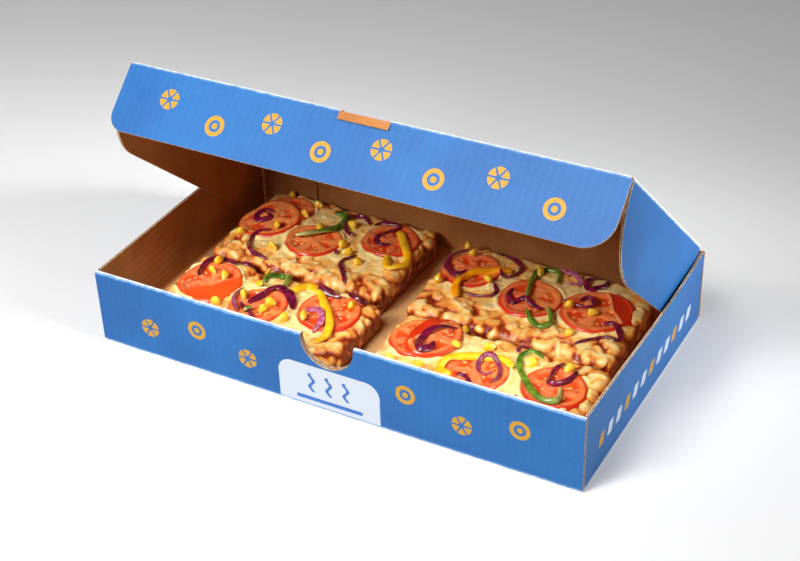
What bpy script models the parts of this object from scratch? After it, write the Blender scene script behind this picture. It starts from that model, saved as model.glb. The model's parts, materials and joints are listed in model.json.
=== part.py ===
"""Four slices of vegetable pizza in an open takeaway box of corrugated board.

Metres, +Z up. The origin is the middle of the box's underside. +X runs along the long
front wall and +Y runs from the front wall to the hinge. The lid stands open.
"""

import math

import bmesh
import bpy
from mathutils import Matrix, Vector
from mathutils.bvhtree import BVHTree

MM = 0.001

# ---- box: driving dimensions ----
BOX_WIDTH = 420 * MM
BOX_DEPTH = 241 * MM
BOX_HEIGHT = 66 * MM
BOARD = 1.8 * MM
CLEARANCE = 0.3 * MM

LEFT, RIGHT = -BOX_WIDTH / 2, BOX_WIDTH / 2
FRONT, BACK = -BOX_DEPTH / 2, BOX_DEPTH / 2

# ---- front wall: board rolled over to the inside, with a thumb notch ----
ROLL_RADIUS = 1.5 * MM
EAR_LENGTH = 60 * MM
REAR_EAR_DROP = 3 * MM
NOTCH_X = 3.5 * MM
NOTCH_RADIUS = 22.8 * MM
NOTCH_DEPTH = 25.3 * MM

# ---- lid ----
LID_OPEN_DEG = 41.9
LID_HALF_WIDTH = 207.3 * MM
LID_DEPTH = 222.6 * MM
LID_REAR = 2.2 * MM
SIDE_FLAP_DEPTH = 63.8 * MM
SIDE_FLAP_REAR = 7 * MM
SIDE_FLAP_SLANT = 7 * MM
RIGHT_CORNER = (60 * MM, 64 * MM)
LEFT_CORNER = (36 * MM, 32 * MM)
FRONT_FLAP_DEPTH = 54.3 * MM
FRONT_FLAP_HALF_WIDTH = 206.4 * MM
FRONT_FLAP_DEG = 85
FLAP_LEFT_RADIUS = 14 * MM
FLAP_RIGHT_RADIUS = 23 * MM
TAB_X = 2.3 * MM
TAB_HALF_WIDTH = 20.8 * MM
TAB_LENGTH = 6.5 * MM

# ---- pizza: the layers of a slice ----
CRUST_BOTTOM = BOARD + CLEARANCE
CRUST_TOP = 13 * MM
CRUST_INSET = 1.5 * MM
CRUST_SEGMENTS = (6, 4, 2)
CHEESE_BOTTOM = CRUST_TOP + CLEARANCE
CHEESE_TOP = 24.5 * MM
CHEESE_SEGMENTS = (12, 8, 2)
CHEESE_SOFTNESS = 2 * MM

# ---- pizza: the shape of a soft slab, as shares of its softness, and how close to the edge ----
SIDE_BULGE = 0.6
SIDE_WAVE = 0.5
RIM_DRAW_IN = 0.9
RIM_DROP = 1.1
TOP_RIPPLE = 0.55
CORNER_ROUNDING = 3
EDGE_POWER = 9
CORNER_POWER = 8
RIM_POWER = 12

# ---- pizza: toppings, with the gap they keep over what they rest on ----
REST_GAP = 0.45 * MM
TOMATO_THICKNESS = 4 * MM
TOMATO_BEVEL = 0.9 * MM
TOMATO_SIDES = 18
ONION_SIZE = (3 * MM, 1.8 * MM)
ONION_SIDES = 4
PEPPER_SIZE = (5.6 * MM, 3.8 * MM)
PEPPER_SIDES = 6
STRIP_RINGS = 13

# Each slice: left, right, front and back edge in millimetres, then a phase for its waves.
SLICES = {
    "back_left": (-188, -22, 2, 112, 0.4),
    "front_left": (-187, -13, -98, -7, 1.9),
    "back_right": (4, 181, -1, 106, 3.1),
    "front_right": (11, 188, -98, -8, 4.6),
}

# Tomato slices: x, y, radius in millimetres, then how far they lean and towards where.
TOMATOES = {
    "back_left": [
        (-158, 83, 22, 0, 0),
        (-166, 62, 27, 9, 67),
        (-113, 50, 24, 0, 0),
        (-53, 78, 25, 0, 0),
    ],
    "front_left": [(-158, -42, 27, 0, 0), (-102, -55, 24, 0, 0), (-45, -38, 26, 0, 0)],
    "back_right": [(29, 68, 25, 0, 0), (91, 50, 26, 0, 0), (145, 56, 28, 0, 0)],
    "front_right": [
        (36, -38, 24, 0, 0),
        (49, -34, 23, 7, 207),
        (96, -57, 24, 0, 0),
        (156, -49, 25, 0, 0),
    ],
}

# Pepper and onion strips: the bends of each one in millimetres.
GREEN_PEPPERS = {
    "back_left": [[(-119, 95), (-111, 97), (-104, 90), (-104, 76), (-112, 60), (-128, 44)]],
    "front_left": [[(-115, -19), (-109, -8), (-102, -12), (-97, -26)]],
    "back_right": [
        [(102, 77), (98, 93), (88, 96), (79, 91), (81, 76), (86, 56), (91, 42)],
        [(95, 33), (103, 23), (114, 18), (120, 24), (116, 34), (108, 41)],
    ],
    "front_right": [[(135, -21), (123, -16), (118, -27), (128, -46), (150, -68), (166, -68), (161, -50)]],
}
YELLOW_PEPPERS = {
    "back_left": [[(-53, 93), (-39, 77), (-27, 60), (-24, 47), (-33, 39), (-43, 53)]],
    "front_left": [[(-85, -38), (-85, -22), (-79, -12), (-65, -19), (-38, -50), (-31, -67), (-33, -81)]],
    "back_right": [[(62, 80), (39, 67), (30, 54), (29, 38), (38, 24)]],
    "front_right": [[(119, -44), (106, -37), (79, -47), (70, -56), (69, -69), (82, -73)]],
}
ONIONS = {
    "back_left": [
        [(-166, 69), (-175, 71), (-179, 62), (-172, 55), (-164, 61), (-170, 66)],
        [(-153, 46), (-163, 38), (-162, 24), (-152, 11), (-133, 7)],
        [(-102, 88), (-101, 98), (-93, 102), (-82, 94)],
        [(-76, 90), (-72, 97), (-55, 98), (-66, 79), (-60, 68), (-49, 70)],
        [(-68, 46), (-75, 30), (-66, 18), (-55, 3)],
    ],
    "front_left": [
        [(-169, -43), (-173, -30), (-172, -17), (-163, -11), (-147, -17)],
        [(-72, -51), (-79, -40), (-89, -32), (-100, -29), (-106, -42), (-109, -59)],
        [(-125, -40), (-126, -49), (-122, -60), (-112, -69)],
        [(-63, -47), (-57, -41), (-48, -46), (-42, -56), (-42, -69)],
        [(-57, -9), (-65, -10), (-67, -16), (-59, -19), (-45, -20)],
    ],
    "back_right": [
        [(19, 93), (8, 84), (6, 73), (10, 60), (23, 53), (30, 60)],
        [(45, 99), (56, 96), (65, 88), (66, 77), (59, 68), (53, 73)],
        [(55, 57), (62, 47), (56, 38), (39, 36)],
        [(73, 57), (73, 47), (81, 37), (88, 44), (108, 37)],
        [(96, 100), (109, 97), (119, 88), (109, 81)],
        [(129, 100), (122, 93), (129, 81), (138, 91), (139, 100)],
        [(128, 62), (134, 69), (141, 62), (134, 55), (116, 56)],
        [(156, 41), (165, 44), (173, 37), (176, 27), (163, 26), (145, 11)],
    ],
    "front_right": [
        [(55, -19), (42, -24), (36, -34), (39, -50), (46, -60), (52, -53), (50, -40)],
        [(92, -50), (101, -40), (110, -50), (102, -60), (113, -69)],
        [(151, -16), (148, -30), (149, -44), (155, -48), (162, -39), (165, -24)],
    ],
}

# Base colour and roughness of each material.
FINISHES = {
    "printed_board": ((0.03, 0.18, 0.48), 0.55),
    "bread": ((0.62, 0.40, 0.19), 0.85),
    "cheese": ((0.83, 0.55, 0.20), 0.5),
    "tomato": ((0.75, 0.09, 0.02), 0.3),
    "green_pepper": ((0.10, 0.26, 0.03), 0.3),
    "yellow_pepper": ((0.90, 0.52, 0.02), 0.3),
    "red_onion": ((0.20, 0.01, 0.08), 0.35),
}


def clear_scene():
    """Remove the objects of the start-up scene."""
    for item in list(bpy.data.objects):
        bpy.data.objects.remove(item, do_unlink=True)


def new_collection(name):
    """A collection linked to the scene."""
    collection = bpy.data.collections.new(name)
    bpy.context.scene.collection.children.link(collection)
    return collection


def finish(name):
    """The Principled material of the given name, made once."""
    if name in bpy.data.materials:
        return bpy.data.materials[name]
    colour, roughness = FINISHES[name]
    material = bpy.data.materials.new(name)
    material.use_nodes = True
    shader = material.node_tree.nodes["Principled BSDF"]
    shader.inputs["Base Color"].default_value = (*colour, 1.0)
    shader.inputs["Roughness"].default_value = roughness
    shader.inputs["Metallic"].default_value = 0.0
    return material


def add_object(name, data, collection):
    """Link a new object holding the given data."""
    item = bpy.data.objects.new(name, data)
    collection.objects.link(item)
    return item


def hide_cutter(item):
    """Mark an object as a working shape, not a part."""
    item.hide_render = True
    item.display_type = "WIRE"


def add_block(name, low, high, collection):
    """A rectangular block between two corners."""
    bm = bmesh.new()
    bmesh.ops.create_cube(bm, size=1.0)
    bmesh.ops.scale(bm, vec=Vector(high) - Vector(low), verts=bm.verts)
    bmesh.ops.translate(bm, vec=(Vector(high) + Vector(low)) / 2, verts=bm.verts)
    mesh = bpy.data.meshes.new(name)
    bm.to_mesh(mesh)
    bm.free()
    return add_object(name, mesh, collection)


def evaluated_mesh(item):
    """A copy of what an object shows, with its doubled edges welded."""
    depsgraph = bpy.context.evaluated_depsgraph_get()
    mesh = bpy.data.meshes.new_from_object(item.evaluated_get(depsgraph))
    bm = bmesh.new()
    bm.from_mesh(mesh)
    bmesh.ops.remove_doubles(bm, verts=bm.verts, dist=0.00001)
    bm.to_mesh(mesh)
    bm.free()
    return mesh


def add_plate(name, outline, thickness, matrix, collection):
    """A filled flat outline of even thickness, laid in space by a matrix."""
    curve = bpy.data.curves.new(name, "CURVE")
    curve.dimensions = "2D"
    curve.fill_mode = "BOTH"
    curve.extrude = thickness / 2
    spline = curve.splines.new("POLY")
    spline.points.add(len(outline) - 1)
    for point, place in zip(spline.points, outline):
        point.co = (place[0], place[1], 0.0, 1.0)
    spline.use_cyclic_u = True
    flat = add_object(name + "_outline", curve, collection)
    bpy.context.view_layer.update()
    mesh = evaluated_mesh(flat)
    mesh.transform(matrix)
    mesh.name = name
    bpy.data.objects.remove(flat, do_unlink=True)
    return add_object(name, mesh, collection)


def arc(centre, radii, start, end, steps):
    """Points of an ellipse's arc between two angles in degrees, both ends included."""
    points = []
    for step in range(steps + 1):
        angle = math.radians(start + (end - start) * step / steps)
        points.append((centre[0] + radii[0] * math.cos(angle), centre[1] + radii[1] * math.sin(angle)))
    return points


def board_outline(route, thickness):
    """The outline of a bent strip of board: its middle line moved half a thickness each way."""
    sides = ([], [])
    for index, place in enumerate(route):
        here = Vector(place)
        ahead = (Vector(route[min(index + 1, len(route) - 1)]) - here)
        behind = (here - Vector(route[max(index - 1, 0)]))
        ahead = ahead.normalized() if ahead.length else behind.normalized()
        behind = behind.normalized() if behind.length else ahead
        normal = Vector((-(ahead.y + behind.y), ahead.x + behind.x)).normalized()
        reach = thickness / 2 / normal.dot(Vector((-ahead.y, ahead.x)))
        sides[0].append(tuple(here + normal * reach))
        sides[1].append(tuple(here - normal * reach))
    return sides[0] + sides[1][::-1]


def combine(item, others, operation):
    """Join others to an object, or cut them from it, with exact Booleans."""
    for other in others:
        modifier = item.modifiers.new(operation.lower() + "_" + other.name, "BOOLEAN")
        modifier.operation = operation
        modifier.solver = "EXACT"
        modifier.object = other
        hide_cutter(other)


# Plate planes: a side view seen along X, and a front view seen along Y.
ALONG_X = Matrix(((0, 0, 1, 0), (1, 0, 0, 0), (0, 1, 0, 0), (0, 0, 0, 1)))
ALONG_Y = Matrix(((1, 0, 0, 0), (0, 0, -1, 0), (0, 1, 0, 0), (0, 0, 0, 1)))


def make_tray(parts, cutters):
    """The folded tray: one board for back, floor and rolled front, one for each side and its ears."""
    half = BOARD / 2
    front_line = FRONT + half
    inner_line = front_line + 2 * ROLL_RADIUS
    roll_height = BOX_HEIGHT - ROLL_RADIUS - half
    roll = arc((front_line + ROLL_RADIUS, roll_height), (ROLL_RADIUS, ROLL_RADIUS), 180, 0, 8)
    route = [(BACK - half, BOX_HEIGHT), (BACK - half, half), (front_line, half)]
    route += roll + [(inner_line, BOARD + CLEARANCE)]
    tray = add_plate("tray", board_outline(route, BOARD), BOX_WIDTH, ALONG_X, parts)
    tray.data.materials.append(finish("printed_board"))

    walls = []
    for side, name in ((-1, "left"), (1, "right")):
        line = side * (BOX_WIDTH / 2 - half)
        ear_end = line - side * (EAR_LENGTH - half)
        rear_ear = BACK - BOARD - half
        front_ear = FRONT + BOARD + half
        plan = [(ear_end, rear_ear), (line, rear_ear), (line, front_ear), (ear_end, front_ear)]
        raised = Matrix.Translation((0, 0, (BOX_HEIGHT - REAR_EAR_DROP) / 2))
        ear_height = BOX_HEIGHT - REAR_EAR_DROP
        ears = add_plate(name + "_ears", board_outline(plan, BOARD), ear_height, raised, cutters)
        low = (line - half, FRONT + half, 0)
        high = (line + half, BACK - half, BOX_HEIGHT)
        walls += [ears, add_block(name + "_wall", low, high, cutters)]
    combine(tray, walls, "UNION")

    centre = (NOTCH_X, BOX_HEIGHT - NOTCH_DEPTH + NOTCH_RADIUS)
    above = BOX_HEIGHT + NOTCH_RADIUS
    outline = arc(centre, (NOTCH_RADIUS, NOTCH_RADIUS), 180, 360, 20)
    outline += [(NOTCH_X + NOTCH_RADIUS, above), (NOTCH_X - NOTCH_RADIUS, above)]
    through = Matrix.Translation((0, FRONT, 0)) @ ALONG_Y
    notch = add_plate("thumb_notch", outline, 20 * MM, through, cutters)
    combine(tray, [notch], "DIFFERENCE")
    return tray


def side_flap_outline(corner):
    """A lid's side flap seen along X, hinge at the origin, front towards -Y, with a round front corner."""
    width, depth = corner
    front = LID_DEPTH - CLEARANCE
    top = CLEARANCE + BOARD
    bottom = CLEARANCE - SIDE_FLAP_DEPTH
    outline = [(-SIDE_FLAP_REAR, top), (-SIDE_FLAP_REAR - SIDE_FLAP_SLANT, bottom)]
    outline += arc((-front + width, bottom + depth), (width, depth), 270, 180, 10)
    return outline + [(-front, top)]


def make_lid(parts, cutters):
    """The lid's top and its two side flaps, shaped closed about the hinge line and then swung open."""
    low = (-LID_HALF_WIDTH, -LID_DEPTH, CLEARANCE)
    high = (LID_HALF_WIDTH, -LID_REAR, CLEARANCE + BOARD)
    lid = add_block("lid", low, high, parts)
    lid.data.materials.append(finish("printed_board"))
    flaps = []
    for side, name, corner in ((-1, "left", LEFT_CORNER), (1, "right", RIGHT_CORNER)):
        place = Matrix.Translation((side * (LID_HALF_WIDTH - BOARD / 2), 0, 0)) @ ALONG_X
        flaps.append(add_plate(name + "_flap", side_flap_outline(corner), BOARD, place, cutters))
    combine(lid, flaps, "UNION")
    low = (TAB_X - TAB_HALF_WIDTH, -LID_DEPTH - BOARD, -BOARD)
    high = (TAB_X + TAB_HALF_WIDTH, -LID_DEPTH + TAB_LENGTH, 2 * BOARD + CLEARANCE)
    tab_gap = add_block("tab_gap", low, high, cutters)
    combine(lid, [tab_gap], "DIFFERENCE")
    return lid


def make_front_flap(parts, cutters):
    """The tuck flap, shaped lying level in front of its fold line, with the tab folded over its face."""
    half = FRONT_FLAP_HALF_WIDTH
    start = CLEARANCE / 2
    end = start + FRONT_FLAP_DEPTH
    left, right = FLAP_LEFT_RADIUS, FLAP_RIGHT_RADIUS
    outline = [(-half, -start)] + arc((-half + left, -end + left), (left, left), 180, 270, 8)
    outline += arc((half - right, -end + right), (right, right), 270, 360, 8) + [(half, -start)]
    level = Matrix.Translation((0, 0, BOARD / 2))
    flap = add_plate("front_flap", outline, BOARD, level, parts)
    flap.data.materials.append(finish("printed_board"))
    low = (TAB_X - TAB_HALF_WIDTH, -start - TAB_LENGTH, BOARD / 2)
    high = (TAB_X + TAB_HALF_WIDTH, -start, 2 * BOARD)
    combine(flap, [add_block("folded_tab", low, high, cutters)], "UNION")
    return flap


def add_pivot(name, place, turn_deg, parent, collection):
    """An empty on a fold line, turned about X. A negative turn lifts the front."""
    pivot = add_object(name, None, collection)
    pivot.empty_display_size = 0.03
    pivot.parent = parent
    pivot.location = place
    pivot.rotation_euler = (math.radians(turn_deg), 0, 0)
    return pivot


def ripple(x, y, phase):
    """Gentle waves between -1 and 1 over a slice, from three crossing sines."""
    long_wave = math.sin(x / 0.021 + 1.3 * phase) * math.cos(y / 0.017 - phase)
    cross_wave = math.sin((x + y) / 0.013 + 2.1 * phase)
    short_wave = math.cos((x - 1.4 * y) / 0.009 + phase)
    return 0.5 * long_wave + 0.3 * cross_wave + 0.2 * short_wave


def slab_push(across, up, softness, wave):
    """How far a slab's side moves out: fullest halfway up, drawn in at the top rim, waving along."""
    fullness = SIDE_BULGE * (1 - up * up)
    top_rim = RIM_DRAW_IN if up > 0.9 else 0.0
    return across ** EDGE_POWER * softness * (fullness - top_rim + SIDE_WAVE * wave)


def add_slab(name, edges, low, high, segments, softness, phase, collection):
    """A soft rectangular slab: wavy sides, rounded corners, a bulging rim and a rippled top.

    The cube's coordinates run from -1 to 1. High powers of them are near 0 over most of
    the slab and reach 1 at an edge or corner, so each change stays close to the rim.
    """
    bm = bmesh.new()
    bmesh.ops.create_cube(bm, size=2.0)
    for axis, count in enumerate(segments):
        along = [e for e in bm.edges if abs(e.verts[0].co[axis] - e.verts[1].co[axis]) > 0.001]
        if count > 1:
            bmesh.ops.subdivide_edges(bm, edges=along, cuts=count - 1, use_grid_fill=True)
    left, right, front, back = edges
    for vert in bm.verts:
        across, deep, up = vert.co
        x = (left + right) / 2 + (right - left) / 2 * across
        y = (front + back) / 2 + (back - front) / 2 * deep
        wave = ripple(y, x, phase)
        corner = CORNER_ROUNDING * softness * (across * deep) ** CORNER_POWER
        x += slab_push(across, up, softness, wave) - across * corner
        y += slab_push(deep, up, softness, wave) - deep * corner
        rim = max(abs(across), abs(deep)) ** RIM_POWER
        top = high + softness * (TOP_RIPPLE * ripple(x, y, phase) - RIM_DROP * rim)
        vert.co = (x, y, low + (top - low) * (up + 1) / 2)
    mesh = bpy.data.meshes.new(name)
    bm.to_mesh(mesh)
    bm.free()
    return add_object(name, mesh, collection)


def make_slice(name, parts):
    """One slice: a bread base, and the sauced cheese that covers it out to its sides."""
    *edges, phase = SLICES[name]
    left, right, front, back = (edge * MM for edge in edges)
    base = (left + CRUST_INSET, right - CRUST_INSET, front + CRUST_INSET, back - CRUST_INSET)
    bread = add_slab("crust_" + name, base, CRUST_BOTTOM, CRUST_TOP, CRUST_SEGMENTS, 0.0, phase, parts)
    bread.data.materials.append(finish("bread"))
    cheese = add_slab(
        "cheese_" + name, (left, right, front, back), CHEESE_BOTTOM, CHEESE_TOP,
        CHEESE_SEGMENTS, CHEESE_SOFTNESS, phase, parts,
    )
    cheese.data.materials.append(finish("cheese"))
    return [bread, cheese]


def surface_tree(item):
    """A search tree of an object's own faces, to find what lies under a point."""
    return BVHTree.FromPolygons([v.co for v in item.data.vertices], [p.vertices for p in item.data.polygons])


def height_below(trees, x, y):
    """The highest surface at a place, looking straight down on all that is already laid."""
    heights = [CRUST_BOTTOM]
    for tree in trees:
        hit = tree.ray_cast(Vector((x, y, 2 * BOX_HEIGHT)), Vector((0, 0, -1)))[0]
        if hit is not None:
            heights.append(hit.z)
    return max(heights)


def resting_height(trees, x, y, reach, slope):
    """How high a round thing's middle must be for it to clear what is under it, as it slopes."""
    rings, spokes = 8, 32
    rest = 0.0
    for ring in range(rings + 1):
        for spoke in range(spokes):
            angle = spoke * math.tau / spokes
            offset = Vector((math.cos(angle), math.sin(angle))) * reach * ring / rings
            rest = max(rest, height_below(trees, x + offset.x, y + offset.y) - slope.dot(offset))
    return rest


def lay_tomato(name, row, trees, collection):
    """A tomato slice lowered, level or leaning, until it rests on what is under it."""
    x, y, radius = row[0] * MM, row[1] * MM, row[2] * MM
    lean, towards = math.radians(row[3]), math.radians(row[4])
    slope = Vector((math.cos(towards), math.sin(towards))) * math.tan(lean)
    rest = resting_height(trees, x, y, radius + REST_GAP, slope)
    bm = bmesh.new()
    bmesh.ops.create_cone(
        bm, cap_ends=True, segments=TOMATO_SIDES, radius1=radius, radius2=radius, depth=TOMATO_THICKNESS
    )
    bmesh.ops.translate(bm, vec=(0, 0, TOMATO_THICKNESS / 2), verts=bm.verts)
    rims = [e for e in bm.edges if abs(e.verts[0].co.z - e.verts[1].co.z) < TOMATO_BEVEL]
    bmesh.ops.bevel(bm, geom=rims, offset=TOMATO_BEVEL, segments=1, profile=0.5, affect="EDGES")
    leaning = Matrix.Rotation(lean, 4, Vector((math.sin(towards), -math.cos(towards), 0)))
    place = Matrix.Translation((x, y, rest + REST_GAP)) @ leaning
    bmesh.ops.transform(bm, matrix=place, verts=bm.verts)
    mesh = bpy.data.meshes.new(name)
    bm.to_mesh(mesh)
    bm.free()
    mesh.materials.append(finish("tomato"))
    return add_object(name, mesh, collection)


def spline_points(bends, steps):
    """Points on a Catmull-Rom curve through the bends, a number of steps from each to the next."""
    ends = [bends[0]] + list(bends) + [bends[-1]]
    points = []
    for index in range(len(bends) - 1):
        before, start, end, after = (Vector(p) * MM for p in ends[index:index + 4])
        for step in range(steps):
            t = step / steps
            low_terms = 2 * start + (end - before) * t + (2 * before - 5 * start + 4 * end - after) * t * t
            points.append((low_terms + (3 * start - before - 3 * end + after) * t ** 3) / 2)
    return points + [Vector(bends[-1]) * MM]


def smooth_route(bends, count):
    """Evenly spread points along the curve through a strip's bends."""
    dense = spline_points(bends, 12)
    lengths = [0.0]
    for here, ahead in zip(dense, dense[1:]):
        lengths.append(lengths[-1] + (ahead - here).length)
    route, index = [], 0
    for step in range(count):
        goal = lengths[-1] * step / (count - 1)
        while index < len(dense) - 2 and lengths[index + 1] < goal:
            index += 1
        share = (goal - lengths[index]) / (lengths[index + 1] - lengths[index])
        route.append(dense[index].lerp(dense[index + 1], share))
    return route


def draped_heights(route, across, width, trees):
    """The height under each ring of a strip, taken from what lies near it and then eased."""
    last = len(route) - 1
    heights = []
    for index, place in enumerate(route):
        reach = (route[min(index + 1, last)] - route[max(index - 1, 0)]) / 2
        probes = [place + across[index] * width * side + reach * along
                  for side in (-0.7, -0.35, 0, 0.35, 0.7) for along in (-1, -0.67, -0.33, 0, 0.33, 0.67, 1)]
        heights.append(max(height_below(trees, probe.x, probe.y) for probe in probes))
    for _ in range(3):
        heights = [max(height, (heights[max(index - 1, 0)] + heights[min(index + 1, last)]) / 2)
                   for index, height in enumerate(heights)]
    return heights


def strip_ring(bm, middle, side, width, height, sides):
    """One ring of a strip's corners, with its flats facing up, down and sideways."""
    spread = 1 / math.cos(math.pi / sides)
    ring = []
    for corner in range(sides):
        angle = math.tau * (corner + 0.5) / sides
        out = Vector((side.x, side.y, 0)) * math.cos(angle) * width / 2 * spread
        up = Vector((0, 0, math.sin(angle) * height / 2 * spread))
        ring.append(bm.verts.new(middle + out + up))
    return ring


def lay_strip(name, bends, size, sides, trees, material, collection):
    """A strip of pepper or onion, draped along its bends over all that is already laid."""
    width, height = size
    route = smooth_route(bends, STRIP_RINGS)
    across = []
    for index in range(STRIP_RINGS):
        run = route[min(index + 1, STRIP_RINGS - 1)] - route[max(index - 1, 0)]
        across.append(Vector((-run.y, run.x)).normalized())
    bm = bmesh.new()
    rings = []
    for place, side, base in zip(route, across, draped_heights(route, across, width, trees)):
        middle = Vector((place.x, place.y, base + REST_GAP + height / 2))
        rings.append(strip_ring(bm, middle, side, width, height, sides))
    for ring, following in zip(rings, rings[1:]):
        for corner in range(sides):
            far = (corner + 1) % sides
            bm.faces.new((ring[corner], ring[far], following[far], following[corner]))
    bm.faces.new(rings[0][::-1])
    bm.faces.new(rings[-1])
    bmesh.ops.recalc_face_normals(bm, faces=bm.faces)
    mesh = bpy.data.meshes.new(name)
    bm.to_mesh(mesh)
    bm.free()
    mesh.materials.append(finish(material))
    return add_object(name, mesh, collection)


def main():
    """Build the tray, the lid and its tuck flap, then the four slices from the bottom up."""
    clear_scene()
    parts = new_collection("pizza_in_box")
    cutters = new_collection("cutters")

    make_tray(parts, cutters)
    hinge = add_pivot("lid_hinge_line", (0, BACK, BOX_HEIGHT), -LID_OPEN_DEG, None, parts)
    lid = make_lid(parts, cutters)
    fold_line = (0, -LID_DEPTH - CLEARANCE / 2, CLEARANCE)
    fold = add_pivot("front_fold_line", fold_line, FRONT_FLAP_DEG, hinge, parts)
    front_flap = make_front_flap(parts, cutters)
    for item, pivot in ((lid, hinge), (front_flap, fold)):
        item.parent = pivot
        for modifier in item.modifiers:
            modifier.object.parent = pivot

    layers = [layer for name in SLICES for layer in make_slice(name, parts)]
    trees = [surface_tree(layer) for layer in layers]
    for name, rows in TOMATOES.items():
        for number, row in enumerate(rows, 1):
            trees.append(surface_tree(lay_tomato(f"tomato_{name}_{number}", row, trees, parts)))
    strips = (
        ("yellow_pepper", YELLOW_PEPPERS, PEPPER_SIZE, PEPPER_SIDES),
        ("green_pepper", GREEN_PEPPERS, PEPPER_SIZE, PEPPER_SIDES),
        ("red_onion", ONIONS, ONION_SIZE, ONION_SIDES),
    )
    for kind, table, size, sides in strips:
        for name, rows in table.items():
            for number, bends in enumerate(rows, 1):
                strip = lay_strip(f"{kind}_{name}_{number}", bends, size, sides, trees, kind, parts)
                trees.append(surface_tree(strip))


main()
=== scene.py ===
# %% [markdown]
# # Vegetable pizza in its takeaway box
# Rectangular slices of pizza lie in a folded box of corrugated board with its lid half
# open. The box is paper that is printed, creased and cut, and the food is a heap of soft
# things that lie on each other. Both are made here as surfaces that numpy works out.
#
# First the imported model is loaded. It fixes every size and place that this lesson uses.

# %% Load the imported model
import json
import math

import bmesh
import bpy
import numpy as np
from mathutils import Matrix, Vector


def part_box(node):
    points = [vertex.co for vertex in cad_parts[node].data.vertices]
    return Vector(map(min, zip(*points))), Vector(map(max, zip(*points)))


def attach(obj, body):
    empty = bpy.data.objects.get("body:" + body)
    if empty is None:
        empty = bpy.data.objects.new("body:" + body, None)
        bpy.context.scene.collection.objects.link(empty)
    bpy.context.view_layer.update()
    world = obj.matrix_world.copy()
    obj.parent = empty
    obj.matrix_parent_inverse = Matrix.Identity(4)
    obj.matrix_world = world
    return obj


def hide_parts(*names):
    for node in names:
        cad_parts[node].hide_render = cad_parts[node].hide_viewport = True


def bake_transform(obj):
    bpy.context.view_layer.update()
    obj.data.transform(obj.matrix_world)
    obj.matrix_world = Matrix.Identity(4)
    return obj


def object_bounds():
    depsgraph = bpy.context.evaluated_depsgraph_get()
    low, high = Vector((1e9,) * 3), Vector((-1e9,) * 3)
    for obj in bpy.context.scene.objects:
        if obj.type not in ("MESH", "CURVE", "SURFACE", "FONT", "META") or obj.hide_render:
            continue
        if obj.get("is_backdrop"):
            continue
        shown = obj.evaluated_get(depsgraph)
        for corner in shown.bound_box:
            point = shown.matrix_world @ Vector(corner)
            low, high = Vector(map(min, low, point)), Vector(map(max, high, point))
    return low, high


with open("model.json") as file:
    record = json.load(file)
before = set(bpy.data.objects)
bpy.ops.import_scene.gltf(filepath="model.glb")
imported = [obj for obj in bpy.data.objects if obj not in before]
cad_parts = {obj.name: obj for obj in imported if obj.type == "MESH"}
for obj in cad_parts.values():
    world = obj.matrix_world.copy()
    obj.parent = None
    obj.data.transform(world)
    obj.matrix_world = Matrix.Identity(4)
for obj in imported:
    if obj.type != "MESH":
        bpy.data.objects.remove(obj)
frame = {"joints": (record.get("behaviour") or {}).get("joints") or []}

MM = 0.001
cad_box = [list(corner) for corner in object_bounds()]
tray_low, tray_high = (np.array(corner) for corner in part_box("tray"))
hinge, crease = (np.array(joint["pos_m"]) for joint in frame["joints"])
LID_OPEN = -math.radians(frame["joints"][0]["range_deg"][0])
FLAP_TURN = math.radians(frame["joints"][1]["range_deg"][1])
RIGHT, BACK, WALL = tray_high
FRONT = tray_low[1]
LID_DEPTH = np.hypot(crease[1] - hinge[1], crease[2] - hinge[2])
print("tray", np.round((tray_high - tray_low) / MM, 1), "lid", round(LID_DEPTH / MM, 1), "mm deep")

# %% [markdown]
# ## From numbers to meshes
# Every piece is one or more grids of points. A grid of rows and columns becomes quads
# between neighbours, and grids that meet share their points once doubles are merged. Each
# grid can carry maps (two numbers a point) and plain fields (one number a point), which
# the finishes read later.


# %% A grid, and a piece made of grids
def stack(*parts):
    """Parts of any matching shapes side by side, such as the x, y and z of points."""
    return np.stack(np.broadcast_arrays(*parts), axis=-1)


def grid(points, finish=0, **fields):
    """One surface: points[row, column] = (x, y, z), with a finish number and its fields."""
    return {"points": np.asarray(points, float), "finish": finish, "fields": fields}


def quads_between(rows, columns):
    """The four corners of each cell, as counted along the rows."""
    index = np.arange(rows * columns).reshape(rows, columns)
    return stack(index[:-1, :-1], index[1:, :-1], index[1:, 1:], index[:-1, 1:]).reshape(-1, 4)


def joined(grids, name, *numbers):
    """A field of all the grids in a row, 0 where a grid has none, or a map if numbers is 2."""
    parts = [np.broadcast_to(g["fields"].get(name, 0.0), (*g["points"].shape[:2], *numbers)) for g in grids]
    return np.concatenate([part.ravel() for part in parts]).astype(np.float32)


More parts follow.
